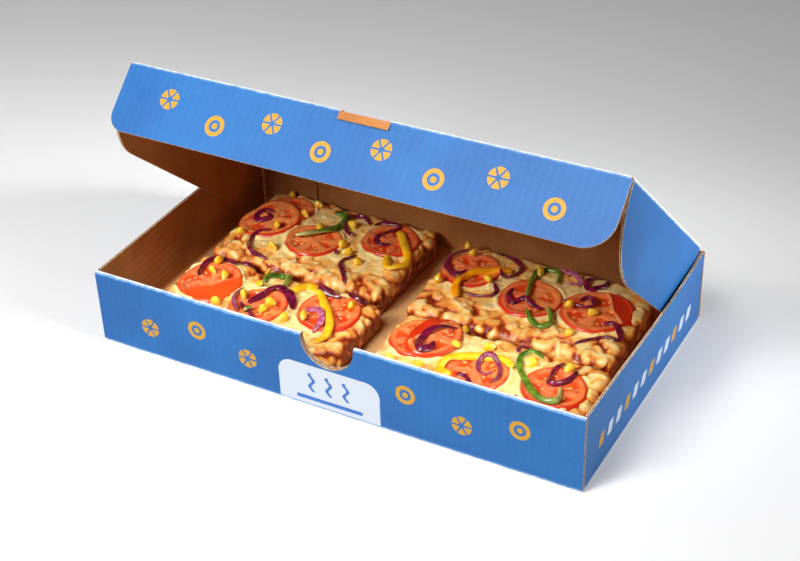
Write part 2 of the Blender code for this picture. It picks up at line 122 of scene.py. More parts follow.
def make_piece(name, grids, finishes, bodies, stands_for=(), maps=(), fields=(), crisp=None):
    """Join grids into one mesh, merge the doubles and turn the faces outward."""
    starts = np.cumsum([0] + [g["points"][..., 0].size for g in grids])
    cells = [quads_between(*g["points"].shape[:2]) + start for g, start in zip(grids, starts)]
    quads = np.concatenate(cells)
    mesh = bpy.data.meshes.new(name)
    mesh.from_pydata(np.concatenate([g["points"].reshape(-1, 3) for g in grids]), [], quads)
    numbers = np.repeat([g["finish"] for g in grids], [len(cell) for cell in cells])
    mesh.polygons.foreach_set("material_index", numbers.astype(np.int32))
    mesh.polygons.foreach_set("use_smooth", np.ones(len(quads), bool))
    for layer in maps:
        values = joined(grids, layer, 2).reshape(-1, 2)[quads.ravel()]
        mesh.uv_layers.new(name=layer).data.foreach_set("uv", values.ravel())
    for field in fields:
        mesh.attributes.new(field, "FLOAT", "POINT").data.foreach_set("value", joined(grids, field))
    weld(mesh)
    for finish in finishes:
        mesh.materials.append(finish)
    if crisp:
        mesh.set_sharp_from_angle(angle=math.radians(crisp))
    piece = bpy.data.objects.new(name, mesh)
    bpy.context.scene.collection.objects.link(piece)
    if isinstance(bodies, str):
        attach(piece, bodies)
    if stands_for:
        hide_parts(*stands_for)
    print(name, len(mesh.vertices), "points,", len(mesh.polygons), "faces")
    return piece


def weld(mesh):
    """Merge the points that lie together, drop faces without area and turn the rest outward."""
    bm = bmesh.new()
    bm.from_mesh(mesh)
    bmesh.ops.remove_doubles(bm, verts=bm.verts, dist=2e-6)
    bmesh.ops.dissolve_degenerate(bm, edges=bm.edges, dist=1e-6)
    bmesh.ops.recalc_face_normals(bm, faces=bm.faces)
    bm.to_mesh(mesh)
    bm.free()


# %% Eased ramps and noise
def smoothstep(low, high, value):
    """0 below low, 1 above high, and an eased ramp between."""
    share = np.clip((value - low) / (high - low), 0, 1)
    return share * share * (3 - 2 * share)


def noise(x, y, scale, seed):
    """Random numbers between -1 and 1 on a square lattice, eased from one to the next."""
    table = np.random.default_rng(seed).uniform(-1, 1, (64, 64))
    column, row = np.floor(x / scale).astype(int), np.floor(y / scale).astype(int)
    right, up = (share * share * (3 - 2 * share) for share in (x / scale - column, y / scale - row))
    low, high = (
        table[column % 64, at % 64] * (1 - right) + table[(column + 1) % 64, at % 64] * right
        for at in (row, row + 1)
    )
    return low * (1 - up) + high * up


# %% [markdown]
# ## Building a finish
# A finish is a Principled shader with a few nodes before it. A small wrapper makes the
# nodes, and plain arithmetic with what they give makes the Math nodes, so that a finish
# reads like a sum.


# %% The finish wrapper
def light(red, green, blue):
    """A screen colour of 0 to 255 a channel as the linear light that a shader wants."""
    share = np.array([red, green, blue]) / 255
    linear = np.where(share <= 0.04045, share / 12.92, ((share + 0.055) / 1.055) ** 2.4)
    return (*linear.tolist(), 1.0)


class Value:
    """An output of a node, which takes part in sums as a number does."""

    def __init__(self, finish, socket):
        self.finish, self.socket = finish, socket

    def math(self, operation, *others):
        """A Math node of this value and the others."""
        return self.finish.node("ShaderNodeMath", enumerate((self, *others)), operation=operation)


def math_node(operation):
    """A method of a value that makes one Math node."""
    return lambda value, *others: value.math(operation, *others)


for sign, operation in {
    "add": "ADD", "sub": "SUBTRACT", "mul": "MULTIPLY", "truediv": "DIVIDE", "mod": "MODULO",
    "lt": "LESS_THAN", "gt": "GREATER_THAN", "abs": "ABSOLUTE", "floor": "FLOOR",
}.items():
    setattr(Value, f"__{sign}__", math_node(operation))


class Finish:
    """One material and the nodes that lead to its Principled shader."""

    def __init__(self, name, **values):
        self.material = bpy.data.materials.new(name)
        self.material.use_nodes = True
        self.tree = self.material.node_tree
        self.shader = self.tree.nodes["Principled BSDF"]
        for socket, value in values.items():
            self.shader.inputs[socket.replace("_", " ")].default_value = value

    def feed(self, socket, value):
        """Link a value to an input, or set the input to a plain number or colour."""
        if isinstance(value, Value):
            self.tree.links.new(value.socket, socket)
        elif value is not None:
            socket.default_value = value

    def node(self, kind, inputs=(), output=0, **settings):
        """A node with its settings and its numbered or named inputs. Gives one of its outputs."""
        made = self.tree.nodes.new(kind)
        for setting, value in settings.items():
            setattr(made, setting, value)
        for place, value in inputs:
            self.feed(made.inputs[place], value)
        return Value(self, made.outputs[output])

    def mix(self, share, first, second):
        """A colour between two, by a share of 0 to 1."""
        return self.node("ShaderNodeMix", ((0, share), (6, first), (7, second)), 2, data_type="RGBA")

    def between(self, value, low, high, out_low=0.0, out_high=1.0):
        """An eased ramp from out_low to out_high as the value goes from low to high."""
        numbers = enumerate((value, low, high, out_low, out_high))
        return self.node("ShaderNodeMapRange", numbers, interpolation_type="SMOOTHSTEP")

    def spots(self, scale, detail=2.0, stretch=None):
        """Cloudy noise on the piece's own coordinates, in spots a metre, stretched if asked."""
        vector = self.place()
        if stretch:
            vector = self.node("ShaderNodeVectorMath", ((0, vector), (1, stretch)), operation="MULTIPLY")
        return self.node("ShaderNodeTexNoise", (("Vector", vector), ("Scale", scale), ("Detail", detail)))

    def place(self):
        """The piece's own coordinates, in metres."""
        return self.node("ShaderNodeTexCoord", output="Object")

    def split(self, vector):
        """The three numbers of a vector."""
        parts = self.node("ShaderNodeSeparateXYZ", ((0, vector),)).socket.node.outputs
        return [Value(self, socket) for socket in parts]

    def map(self, name):
        """The two numbers of a map."""
        return self.split(self.node("ShaderNodeUVMap", uv_map=name))[:2]

    def field(self, name):
        """A plain field of the mesh."""
        return self.node("ShaderNodeAttribute", output="Fac", attribute_name=name)

    def bump(self, *heights):
        """Raise and sink the surface: pairs of a height of 0 to 1 and its size in metres."""
        normal = None
        for height, size in heights:
            normal = self.node("ShaderNodeBump", (("Distance", size), ("Height", height), ("Normal", normal)))
        self.feed(self.shader.inputs["Normal"], normal)

    def colour(self, value):
        """Feed the base colour."""
        self.feed(self.shader.inputs["Base Color"], value)


# %% [markdown]
# ## Printed corrugated board
# Corrugated board is a wavy paper between two flat ones. Outside it is printed blue. Inside
# it is bare brown kraft. The waves, the flutes, telegraph through as a faint washboard. Near
# a fold the blue turns pale and then white: partly ink worn off to the white paper, partly a
# painted highlight along the rounded fold. The print is a shader rule on each panel's own
# measures: a zigzag row of rings and cut discs, a white field with steam lines on the front
# wall, and a row of dashes on the side walls.

# %% Rules of the print
FLUTE_PITCH = 6.4 * MM
MOTIF_PITCH, MOTIF_RADIUS, MOTIF_STAGGER = 46 * MM, 8.2 * MM, 6 * MM
WEDGE_GAP, RING_GAP, RING_GAP_HALF = 2.1 * MM, 3.6 * MM, 1.2 * MM
LABEL_X, LABEL_Z, LABEL_HALF, LABEL_ROUND = 3.2 * MM, 14 * MM, (44 * MM, 25 * MM), 12 * MM
LABEL_CLEAR = 58 * MM
STEAM_PITCH, STEAM_WAVE, STEAM_SWAY, STEAM_HALF = 15 * MM, 11 * MM, 1.7 * MM, 1.5 * MM
DASH_PITCH, DASH_Z, DASH_HALF, DASH_LEAN, DASH_REACH = 16 * MM, 26 * MM, (4.2 * MM, 5.5 * MM), 0.3, 96 * MM
BLUE_INK = light(9, 79, 142), light(16, 92, 155)
YELLOW_INK, WHITE_INK, STEAM_INK = light(180, 133, 22), light(183, 190, 199), light(40, 96, 168)


def disc_and_ring(f, u, v):
    """A share that is 1 in the motifs: discs cut in six wedges, then rings, in a zigzag row."""
    cell = u / MOTIF_PITCH
    odd = math.floor(cell + 100.0) % 2.0
    across = (cell.math("FRACT") - 0.5) * MOTIF_PITCH
    up = v - (odd * (2 * MOTIF_STAGGER) - MOTIF_STAGGER)
    radius = (across * across + up * up).math("SQRT")
    wedges = abs((up.math("ARCTAN2", across) * 3.0).math("SINE")) * radius > WEDGE_GAP
    ring = abs(radius - RING_GAP) > RING_GAP_HALF
    shape = f.node("ShaderNodeMix", ((0, odd), (2, wedges), (3, ring)), data_type="FLOAT")
    return (radius < MOTIF_RADIUS) * shape


def rounded_field(u, v, half_size, radius):
    """A share that is 1 in a rounded rectangle about 0, 0: the distance to a smaller one."""
    over_u, over_v = ((abs(at) - (half - radius)).math("MAXIMUM", 0.0) for at, half in zip((u, v), half_size))
    return over_u * over_u + over_v * over_v < radius * radius


def steam_lines(x, z):
    """Three rising waves over a level bar: the share that is ink. x is from the label's middle."""
    column = x / STEAM_PITCH
    near = (column - column.math("ROUND")) * STEAM_PITCH
    sway = (z * (math.tau / STEAM_WAVE)).math("SINE") * STEAM_SWAY
    tall = abs(z - 23 * MM) < 8.5 * MM
    waves = (abs(near - sway) < STEAM_HALF) * (abs(column) < 1.5) * tall
    return waves.math("MAXIMUM", rounded_field(x, z - 8 * MM, (29 * MM, 1.7 * MM), 1.6 * MM))


def side_dashes(f, y, z):
    """A row of leaning dashes, every third one yellow: the share that is ink, and the ink."""
    cell = y / DASH_PITCH
    lean = (cell.math("FRACT") - 0.5) * DASH_PITCH - (z - DASH_Z) * DASH_LEAN
    dash = rounded_field(lean, z - DASH_Z, DASH_HALF, 1.5 * MM) * (abs(y) < DASH_REACH)
    return dash, f.mix(math.floor(cell + 99.0) % 3.0 < 0.5, WHITE_INK, YELLOW_INK)


# %% Finishes: blue print, kraft and cut paper
def washboard(f):
    """-1 to 1 across the flutes of the board."""
    return (f.map("Flute")[0] * (math.tau / FLUTE_PITCH)).math("SINE")


def blue_print():
    """Blue ink on white paper, with the motifs, the label, the dashes, and folds that are worn and painted
    with a highlight.
    """
    f = Finish("blue print on board", Roughness=0.52, Specular_IOR_Level=0.36)
    u, v = f.map("Sheet")
    fold, motifs = f.map("Wear")
    x, y, z = f.split(f.place())
    wave, printed, on_front, label_x = washboard(f), motifs > 0.5, y < FRONT + 0.2 * MM, x - LABEL_X
    ink = f.mix(f.between(f.spots(14, 3.0), 0.3, 0.7), *BLUE_INK)
    ink = f.mix(f.between(f.spots(900, 2.0), 0.45, 0.75, 0.0, 0.25), ink, light(42, 118, 182))
    ink = f.mix(f.between(wave, -1.0, 1.0, 0.0, 0.02), ink, light(96, 160, 216))

    clear = on_front * (abs(label_x) < LABEL_CLEAR) < 0.5
    motif = disc_and_ring(f, u, v) * clear * (abs(u) < RIGHT - 15 * MM) * printed
    label = rounded_field(label_x, z - LABEL_Z, LABEL_HALF, LABEL_ROUND) * on_front * printed
    dash, dash_ink = side_dashes(f, y, z)
    sheet = f.mix(label, f.mix(motif, ink, YELLOW_INK), WHITE_INK)
    sheet = f.mix(steam_lines(label_x, z) * label, sheet, STEAM_INK)
    sheet = f.mix(dash * (abs(x) > RIGHT - 0.3 * MM), sheet, dash_ink)

    # Near each fold the blue turns pale, then white: partly worn ink, partly a painted highlight along the
    # fold.
    fold_wear_and_highlight = f.spots(220, 3.0) * (1.6 * MM) + fold
    sheet = f.mix(f.between(fold_wear_and_highlight, 1.9 * MM, 2.9 * MM, 0.4, 0.0), sheet, light(150, 190, 228))
    f.colour(f.mix(f.between(fold_wear_and_highlight, 1.0 * MM, 1.6 * MM, 1.0, 0.0), sheet, light(236, 240, 246)))
    f.bump((wave, 0.012 * MM), (f.spots(700, 2.0), 0.03 * MM))
    return f.material


def kraft():
    """Bare brown paper with fibres and a washboard, and the floor of the tray painted paler as if lit."""
    f = Finish("kraft paper", Roughness=0.78, Specular_IOR_Level=0.25)
    wave, cloud, z = washboard(f), f.between(f.spots(22, 4.0), 0.3, 0.72), f.split(f.place())[2]
    brown = f.mix(cloud, light(158, 98, 50), light(180, 120, 66))
    # The floor of the tray is painted in a paler kraft than the walls: a painted pool of light.
    painted_lit_floor = f.mix(cloud, light(224, 172, 112), light(236, 188, 128))
    brown = f.mix(f.between(z, 6 * MM, 3 * MM), brown, painted_lit_floor)
    brown = f.mix(f.between(wave, -1.0, 1.0, 0.0, 0.08), brown, light(140, 90, 46))
    fibres = f.spots(260, 3.0, stretch=(1.0, 5.0, 5.0))
    f.colour(f.mix(f.between(fibres, 0.52, 0.75, 0.0, 0.35), brown, light(132, 80, 40)))
    f.bump((wave, 0.05 * MM), (f.spots(900, 3.0), 0.03 * MM))
    return f.material


def raw_paper():
    """The cut edge of a liner: pale, fluffed, a little uneven."""
    f = Finish("raw paper edge", Roughness=0.9, Specular_IOR_Level=0.2)
    f.colour(f.mix(f.between(f.spots(420, 3.0), 0.35, 0.68), light(206, 174, 134), light(244, 234, 214)))
    f.bump((f.spots(1500, 2.0), 0.05 * MM))
    return f.material


def inner_paper(name, roughness, shine, dark, pale):
    """Paper inside the board in clouds of two browns; with dark browns, the painted shade of the hollows
    between flutes.
    """
    f = Finish(name, Roughness=roughness, Specular_IOR_Level=shine)
    f.colour(f.mix(f.spots(500, 2.0), dark, pale))
    return f.material


BOARD_FINISHES = [
    blue_print(), kraft(), raw_paper(),
    inner_paper("flute paper", 0.85, 0.2, light(176, 134, 92), light(220, 184, 140)),
    # The hollows between flutes get dark browns that stand in for the shade deep inside them: painted shade.
    inner_paper("painted shade in the hollows between flutes", 0.9, 0.1, light(58, 38, 22), light(92, 64, 38)),
]
PRINT, KRAFT, RAW, FLUTES, HOLLOW_SHADE = range(5)
print("blue print:", len(BOARD_FINISHES[PRINT].node_tree.nodes), "nodes")

# %% [markdown]
# ## Slabs of board with real cut edges
# A panel is two faces 1.8 mm apart. A cut edge is not a flat band: the two liners stand
# proud, and between them the middle paper waves across the gap. So an edge is a channel
# profile carried along the cut, with a thin wavy ribbon standing in it. The ribbon's wave
# follows the place across the flutes, so along a flute it runs straight, as in real board.

# %% Board edges and slabs
BOARD = 1.8 * MM
HALF = BOARD / 2
CHANNEL = 0.9 * MM
EDGE_SHARES = np.array([0, 0.2, 0.2, 0.8, 0.8, 1.0])
EDGE_SUNK = np.array([0, 0, 1, 1, 0, 0]) * CHANNEL
# The sunk middle of a cut edge takes the painted shade of the hollows between flutes.
EDGE_FINISHES = (RAW, HOLLOW_SHADE, HOLLOW_SHADE, HOLLOW_SHADE, RAW)
RIBBON = ((-0.07, 0.9), (-0.07, 0.12), (0.07, 0.12), (0.07, 0.9), (-0.07, 0.9))
EDGES_OF_GRID = {
    "f": (np.s_[0], np.s_[1]), "l": (np.s_[-1], np.s_[-2]), "a": (np.s_[:, 0], np.s_[:, 1]),
    "z": (np.s_[:, -1], np.s_[:, -2]),
}


def distances(path):
    """How far along a path each of its points lies."""
    return np.concatenate([[0], np.cumsum(np.linalg.norm(np.diff(path, axis=0), axis=1))])


def resampled(path, step, *others):
    """Points at even steps along a path, with other per-point rows at the same places."""
    length = distances(path)
    places = np.linspace(0, length[-1], max(2, int(length[-1] / step) + 2))
    return [
        np.apply_along_axis(lambda column: np.interp(places, length, column), 0, values)
        for values in (path, *others)
    ]


def cut_edge(outer, inner, inward, flute):
    """The channel along a cut from the outer face to the inner one, and the wave in it."""
    inward = inward / np.maximum(np.linalg.norm(inward, axis=1, keepdims=True), 1e-9)
    across = inner - outer
    rim = outer[:, None] + across[:, None] * EDGE_SHARES[:, None] + inward[:, None] * EDGE_SUNK[:, None]
    strips = [grid(rim[:, k:k + 2], finish) for k, finish in enumerate(EDGE_FINISHES)]
    fine, gap, deep, at = resampled(outer, 0.5 * MM, across, inward, flute)
    sway = 0.5 + 0.2 * np.sin(at * math.tau / FLUTE_PITCH)
    ribbon = [fine + gap * (sway + side)[:, None] + deep * sunk * CHANNEL for side, sunk in RIBBON]
    return strips + [grid(np.stack(ribbon, axis=1), FLUTES)]


def slab(faces, sheet, flute, fold=1.0, motifs=0.0, cuts="", finishes=(PRINT, KRAFT)):
    """An outer and an inner face and the four edges between them.

    sheet = the two measures that the print goes by, flute = the place across the flutes
    fold = the distance to the nearest fold, motifs = 1 where the print has its motifs
    cuts = the raw edges: first or last row, column a or z
    """
    outer, inner = faces
    every = np.zeros(outer.shape[:2])
    sheet, fold_and_motifs, flutes = (stack(a + every, b) for a, b in (sheet, (fold, motifs), (flute, 0.0)))
    grids = [
        grid(outer, finishes[0], Sheet=sheet, Wear=fold_and_motifs, Flute=flutes),
        grid(inner, finishes[1], Sheet=sheet, Wear=1.0, Flute=flutes),
    ]
    for key, (edge, beside) in EDGES_OF_GRID.items():
        if key in cuts:
            grids += cut_edge(outer[edge], inner[edge], outer[beside] - outer[edge], flutes[..., 0][edge])
        else:
            grids.append(grid(np.stack([outer[edge], inner[edge]], axis=1), KRAFT))
    return grids


def board_piece(name, grids, bodies, stands_for=(), crisp=38):
    """A piece of printed board."""
    return make_piece(
        name, grids, BOARD_FINISHES, bodies, stands_for,
        maps=("Sheet", "Wear", "Flute"), crisp=crisp,
    )


# %% [markdown]
# ## The tray
# One sheet makes the back wall, the floor and the front wall, which rolls over into a
# second layer inside. Its side view is a bent line, and the sheet is that line carried
# along X. The thumb notch cuts both layers, so the strip is made in three blocks, and in
# the middle one each column ends at the arc of the notch.

# %% The bent side view of the main sheet
BEND = 1.5 * MM
NOTCH_X, NOTCH_RADIUS, NOTCH_DEPTH = 3.5 * MM, 22.8 * MM, 25.3 * MM
NOTCH_MIDDLE = WALL - NOTCH_DEPTH + NOTCH_RADIUS
FLOOR_TOP = BOARD + 0.3 * MM
FOLD_REACH = np.array([0, 0.6, 1.2, 2.0, 3.0, 4.5, 7.0]) * MM


def bend(centre, start, end, steps=8):
    """An arc of the middle line, with its outward normals: (y, z, normal y, normal z)."""
    angle = np.radians(np.linspace(start, end, steps + 1))
    circle = stack(np.cos(angle), np.sin(angle))
    return np.hstack([np.array(centre) + circle * BEND, circle])


def straight(start, end, normal, extra=()):
    """A straight of the middle line with points close to its ends, where the folds are worn and painted with
    a highlight.
    """
    start, end = np.array(start, float), np.array(end, float)
    length = np.linalg.norm(end - start)
    stops = np.unique(np.concatenate([FOLD_REACH, length - FOLD_REACH, np.linspace(0, length, 6), extra]))
    stops = stops[(stops >= 0) & (stops <= length)]
    points = start + (end - start) * (stops / length)[:, None]
    return np.hstack([points, np.tile(normal, (len(stops), 1))])


low_bend, top_bend = HALF + BEND, WALL - HALF - BEND
outer_line, inner_line, back_line = FRONT + HALF, FRONT + HALF + 2 * BEND, BACK - HALF
sections = [
    straight((back_line, WALL - 1.5 * MM), (back_line, low_bend), (1, 0)),
    bend((back_line - BEND, low_bend), 0, -90),
    straight((back_line - BEND, HALF), (outer_line + BEND, HALF), (0, -1)),
    bend((outer_line + BEND, low_bend), -90, -180),
    straight((outer_line, low_bend), (outer_line, top_bend), (-1, 0), [NOTCH_MIDDLE - low_bend]),
    bend((outer_line + BEND, top_bend), 180, 0),
    straight((inner_line, top_bend), (inner_line, FLOOR_TOP), (1, 0), [top_bend - NOTCH_MIDDLE]),
]
BACK_WALL, BACK_BEND, FLOOR, FRONT_BEND, FRONT_WALL, ROLL, INNER_WALL = range(7)
section_of = np.repeat(np.arange(7), [len(section) for section in sections])
bent = np.vstack(sections)
run = distances(bent[:, :2])
fold_runs = [run[section_of == fold].mean() for fold in (BACK_BEND, FRONT_BEND, ROLL)]
from_fold = np.min([np.abs(run - at) for at in fold_runs], axis=0)
print("main sheet:", round(run[-1] / MM), "mm long,", len(bent), "points")


# %% The main sheet as blocks
def faces_along_x(line, x):
    """The two faces over a bent line carried along X: x[row, column], a row for each point."""
    y, z, normal_y, normal_z = line.T[..., None]
    return [stack(x, y + normal_y * offset, z + normal_z * offset) for offset in (HALF, -HALF)]


def main_block(low_x, high_x, cuts):
    """The whole bent strip between two x, which may differ from row to row."""
    low, high = (np.broadcast_to(x, run.shape)[:, None] for x in (low_x, high_x))
    x = low + (high - low) * np.linspace(0, 1, 25)
    faces = faces_along_x(bent, x)
    motifs = np.isin(section_of, (BACK_WALL, FRONT_WALL))[:, None]
    return slab(faces, (x, faces[0][..., 2] - WALL / 2), x, from_fold[:, None], motifs, cuts)


def notch_block():
    """The strip below the notch's arc: floor and outer layer, then the inner layer."""
    turn = np.linspace(0, math.pi, 33)
    x, top = NOTCH_X - NOTCH_RADIUS * np.cos(turn), NOTCH_MIDDLE - NOTCH_RADIUS * np.sin(turn)
    lower = section_of < FRONT_WALL
    share = np.array([0, 0.1, 0.3, 0.5, 0.7, 0.85, 1.0])[:, None]
    climb, drop = low_bend + (top - low_bend) * share, top + (FLOOR_TOP - top) * share
    faces = [
        np.concatenate([face, stack(x, y, climb)])
        for face, y in zip(faces_along_x(bent[lower], x), (FRONT, FRONT + BOARD))
    ]
    fold = np.concatenate([from_fold[lower][:, None] + x * 0, climb * 0 + 1])
    motifs = np.concatenate([(section_of[lower] == BACK_WALL)[:, None] + x * 0, climb * 0 + 1])
    layer = [stack(x, inner_line + offset, drop) for offset in (HALF, -HALF)]
    grids = slab(faces, (x, faces[0][..., 2] - WALL / 2), x, fold, motifs, "l")
    return grids + slab(layer, (x, drop - WALL / 2), x, cuts="f")


def notch_side_edge(x, inward):
    """The short upright cuts beside the notch, which run over the roll with both layers."""
    above = (bent[:, 1] >= NOTCH_MIDDLE - 1e-7) & (section_of >= FRONT_WALL)
    outer, inner = faces_along_x(bent[above], x)
    ways = np.tile((inward, 0.0, 0.0), (len(outer), 1))
    return cut_edge(outer[:, 0], inner[:, 0], ways, np.full(len(outer), x))


sheet_end = np.where(np.isin(section_of, (BACK_BEND, FLOOR, FRONT_BEND)), RIGHT - 2.4 * MM, RIGHT)
notch_left, notch_right = NOTCH_X - NOTCH_RADIUS, NOTCH_X + NOTCH_RADIUS
main_sheet = main_block(-sheet_end, notch_left, "a") + main_block(notch_right, sheet_end, "z") + notch_block()
main_sheet += notch_side_edge(notch_left, -1.0) + notch_side_edge(notch_right, 1.0)

# %% [markdown]
# The side walls fold up from the floor and end in ears that are tucked behind the back
# wall and into the rolled front. Long walls of board never stay flat: each one bows out a
# little, most at two thirds of the way to the back.

# %% Side walls and ears
BOW = 2.0 * MM
EAR = 60 * MM
EAR_HEIGHT = WALL - 3 * MM
EAR_FRONT, EAR_BACK = FRONT + BOARD + HALF, BACK - BOARD - HALF
SIDE_LINE = RIGHT - HALF - BEND


def side_wall(side):
    """A wall's profile in x and z, carried along Y and bowed outward."""
    line = np.vstack([bend((0, low_bend), -90, 0), straight((BEND, low_bend), (BEND, WALL), (1, 0))])
    length = distances(line[:, :2])[:, None]
    y = np.linspace(EAR_FRONT + BEND, EAR_BACK - BEND, 41)
    x, z, normal_x, normal_z = line.T[..., None]
    reach = np.sin(math.pi * ((y - FRONT) / (BACK - FRONT)) ** 1.6)
    x = SIDE_LINE + x + BOW * (z / WALL) ** 1.3 * reach
    faces = [stack(side * (x + normal_x * offset), y, z + normal_z * offset) for offset in (HALF, -HALF)]
    return slab(faces, (y, faces[0][..., 2]), length, np.abs(length - BEND * 0.8), cuts="l")


def ear(side, end, back):
    """A tucked ear: a tight bend out of the side wall, then a flat leaf along the end wall."""
    leaf = [(-step, BEND, 0, 1) for step in np.linspace(2 * MM, EAR - BEND - HALF, 8)]
    x, y, normal_x, normal_y = np.vstack([bend((0, 0), 0, 90), leaf]).T[..., None]
    z = np.linspace(FLOOR_TOP, EAR_HEIGHT, 6)
    faces = [
        stack(side * (SIDE_LINE + x + normal_x * offset), end + back * (y + normal_y * offset - BEND), z)
        for offset in (HALF, -HALF)
    ]
    return slab(faces, (faces[0][..., 0], faces[0][..., 1]), z, cuts="lz")


walls = []
for side in (-1, 1):
    walls += side_wall(side) + ear(side, EAR_BACK, 1) + ear(side, EAR_FRONT, -1)
board_piece("tray_of_folded_board", main_sheet + walls, "tray", ["tray"])

# %% [markdown]
# ## The lid
# The lid is worked out lying closed, by its distance from the hinge, its place along X and
# its height over the hinge plane. One function then swings it open by the hinge's angle.

# %% The lid's own measures and its swing
LID_WIDE = 206.4 * MM
LID_TOP_WIDE = LID_WIDE - BEND
LID_REAR, LID_FRONT, LID_LOW = 2.2 * MM, 222.6 * MM, 0.3 * MM
FLAP_FRONT, FLAP_REAR, FLAP_SLANT, FLAP_DEEP = 222.3 * MM, 7 * MM, 7 * MM, 63.8 * MM
RIGHT_CORNER, LEFT_CORNER = (60 * MM, 64 * MM), (36 * MM, 32 * MM)
TAB_LEFT, TAB_RIGHT, TAB_LENGTH = -18.5 * MM, 23.1 * MM, 6.5 * MM


def opened(x, away, height):
    """Where a point of the closed lid goes as the lid swings open about the hinge."""
    along, over = math.cos(LID_OPEN), math.sin(LID_OPEN)
    return stack(x, hinge[1] - away * along + height * over, hinge[2] + away * over + height * along)


def lid_block(low_x, high_x, front, cuts):
    """A part of the lid's top between two x, from the rear to its own front edge."""
    x = np.linspace(low_x, high_x, max(4, int((high_x - low_x) / (8 * MM))))
    stops = np.concatenate([LID_REAR + FOLD_REACH, np.linspace(LID_REAR, front, 30), front - FOLD_REACH])
    away = np.unique(stops)[:, None]
    from_end, from_side = np.minimum(away - LID_REAR, LID_FRONT - away), LID_WIDE - np.abs(x)
    fold = np.minimum(from_end + 1.2 * MM, from_side + 0.4 * MM)
    faces = opened(x, away, LID_LOW + BOARD), opened(x, away, LID_LOW)
    return slab(faces, (x, away - (LID_REAR + LID_FRONT) / 2), x, fold, 1.0, cuts)


def side_flap(side, wide, deep):
    """A side flap: over the fold, down the side, and round at its lower front corner."""
    level, bottom = LID_LOW + HALF, LID_LOW - FLAP_DEEP
    below = level - BEND
    angle = np.radians(np.linspace(90, 0, 7))
    plain = np.linspace(below - 8 * MM, bottom + deep, 6) if deep < FLAP_DEEP else []
    curve = bottom + deep * (1 - np.sin(np.linspace(0, math.pi / 2, 16)))
    curve = np.minimum(curve, below - 0.1 * MM)
    drop = np.unique(np.concatenate([below - FOLD_REACH[1:-1], plain, curve]))[::-1]
    height = np.concatenate([below + BEND * np.sin(angle), drop])[:, None]
    sideways = np.concatenate([LID_TOP_WIDE + BEND * np.cos(angle), np.full(len(drop), LID_WIDE)])
    normal_x = np.concatenate([np.cos(angle), np.ones(len(drop))])
    normal_up = np.concatenate([np.sin(angle), np.zeros(len(drop))])[:, None]
    share_up = np.clip((bottom + deep - height) / deep, 0, 1)
    front = FLAP_FRONT - wide * (1 - np.sqrt(1 - share_up ** 2))
    rear = FLAP_REAR + FLAP_SLANT * np.clip((level - height) / FLAP_DEEP, 0, 1)
    away = rear + (front - rear) * np.linspace(0, 1, 33)
    faces = [
        opened(side * (sideways + normal_x * offset)[:, None], away, height + normal_up * offset)
        for offset in (HALF, -HALF)
    ]
    return slab(faces, (away, height), away, np.abs(level - BEND / 2 - height), cuts="laz")


lid = lid_block(-LID_TOP_WIDE, TAB_LEFT, LID_FRONT, "")
lid += lid_block(TAB_LEFT, TAB_RIGHT, LID_FRONT - TAB_LENGTH, "l")
lid += lid_block(TAB_RIGHT, LID_TOP_WIDE, LID_FRONT, "")
lid += side_flap(-1, *LEFT_CORNER) + side_flap(1, *RIGHT_CORNER)
board_piece("lid_with_side_flaps", lid, "lid", ["lid"])

# %% [markdown]
# The tuck flap hangs from the lid's front edge. Its frame is the fold line, a direction
# away from it and the outward side. The small tab in the middle was cut from the lid and
# has flipped over onto the flap, brown side out.

# %% The tuck flap
FLAP_START, FLAP_END = 0.15 * MM, 54.45 * MM
FLAP_MIDDLE = 27 * MM
FLAP_WIDE = 206.4 * MM
ROUND_LEFT, ROUND_RIGHT = 14 * MM, 23 * MM


def hung(x, down, out):
    """A point of the tuck flap: down from the fold line and out from its inner face."""
    ahead = np.array([0, -math.cos(LID_OPEN), math.sin(LID_OPEN)])
    over = np.array([0, math.sin(LID_OPEN), math.cos(LID_OPEN)])
    fall = math.cos(FLAP_TURN) * ahead - math.sin(FLAP_TURN) * over
    face = math.sin(FLAP_TURN) * ahead + math.cos(FLAP_TURN) * over
    y, z = (crease[k] + down * fall[k] + out * face[k] for k in (1, 2))
    return stack(x, y, z)


def corner_inset(from_end, radius):
    """How far a round corner draws the side in, at a distance from the flap's end."""
    return radius - np.sqrt(radius ** 2 - (radius - np.minimum(from_end, radius)) ** 2)


def tuck_flap():
    """The flap's two faces row by row, each row from its own left to its own right side."""
    round_part = ROUND_RIGHT * (1 - np.sin(np.linspace(0, math.pi / 2, 16)))
    from_end = np.unique(np.concatenate([round_part, FLAP_END - FLAP_START - FOLD_REACH]))[::-1, None]
    down = FLAP_END - from_end
    left = corner_inset(from_end, ROUND_LEFT) - FLAP_WIDE
    right = FLAP_WIDE - corner_inset(from_end, ROUND_RIGHT)
    x = left + (right - left) * np.linspace(0, 1, 61)
    faces = hung(x, down, BOARD), hung(x, down, 0.0)
    return slab(faces, (x, down - FLAP_MIDDLE), x, down + 1.2 * MM, 1.0, "laz")


def folded_tab():
    """The cut-out tab lying on the flap's face, brown side out, a little lifted at its end."""
    x = np.linspace(TAB_LEFT, TAB_RIGHT, 14)
    down = np.linspace(FLAP_START, TAB_LENGTH, 5)[:, None]
    lift = BOARD + 0.15 * MM + 0.5 * MM * (down / TAB_LENGTH) ** 2
    faces = hung(x, down, lift + BOARD * 0.9), hung(x, down, lift)
    return slab(faces, (x, down), x, cuts="laz", finishes=(KRAFT, PRINT))


board_piece("tuck_flap_with_tab", tuck_flap() + folded_tab(), "front_flap", ["front_flap"])

# %% [markdown]
# ## The creases that join the panels
# Between tray, lid and flap the board is only creased, so a strip crosses each fold line.
# It starts at one panel and ends at the other.


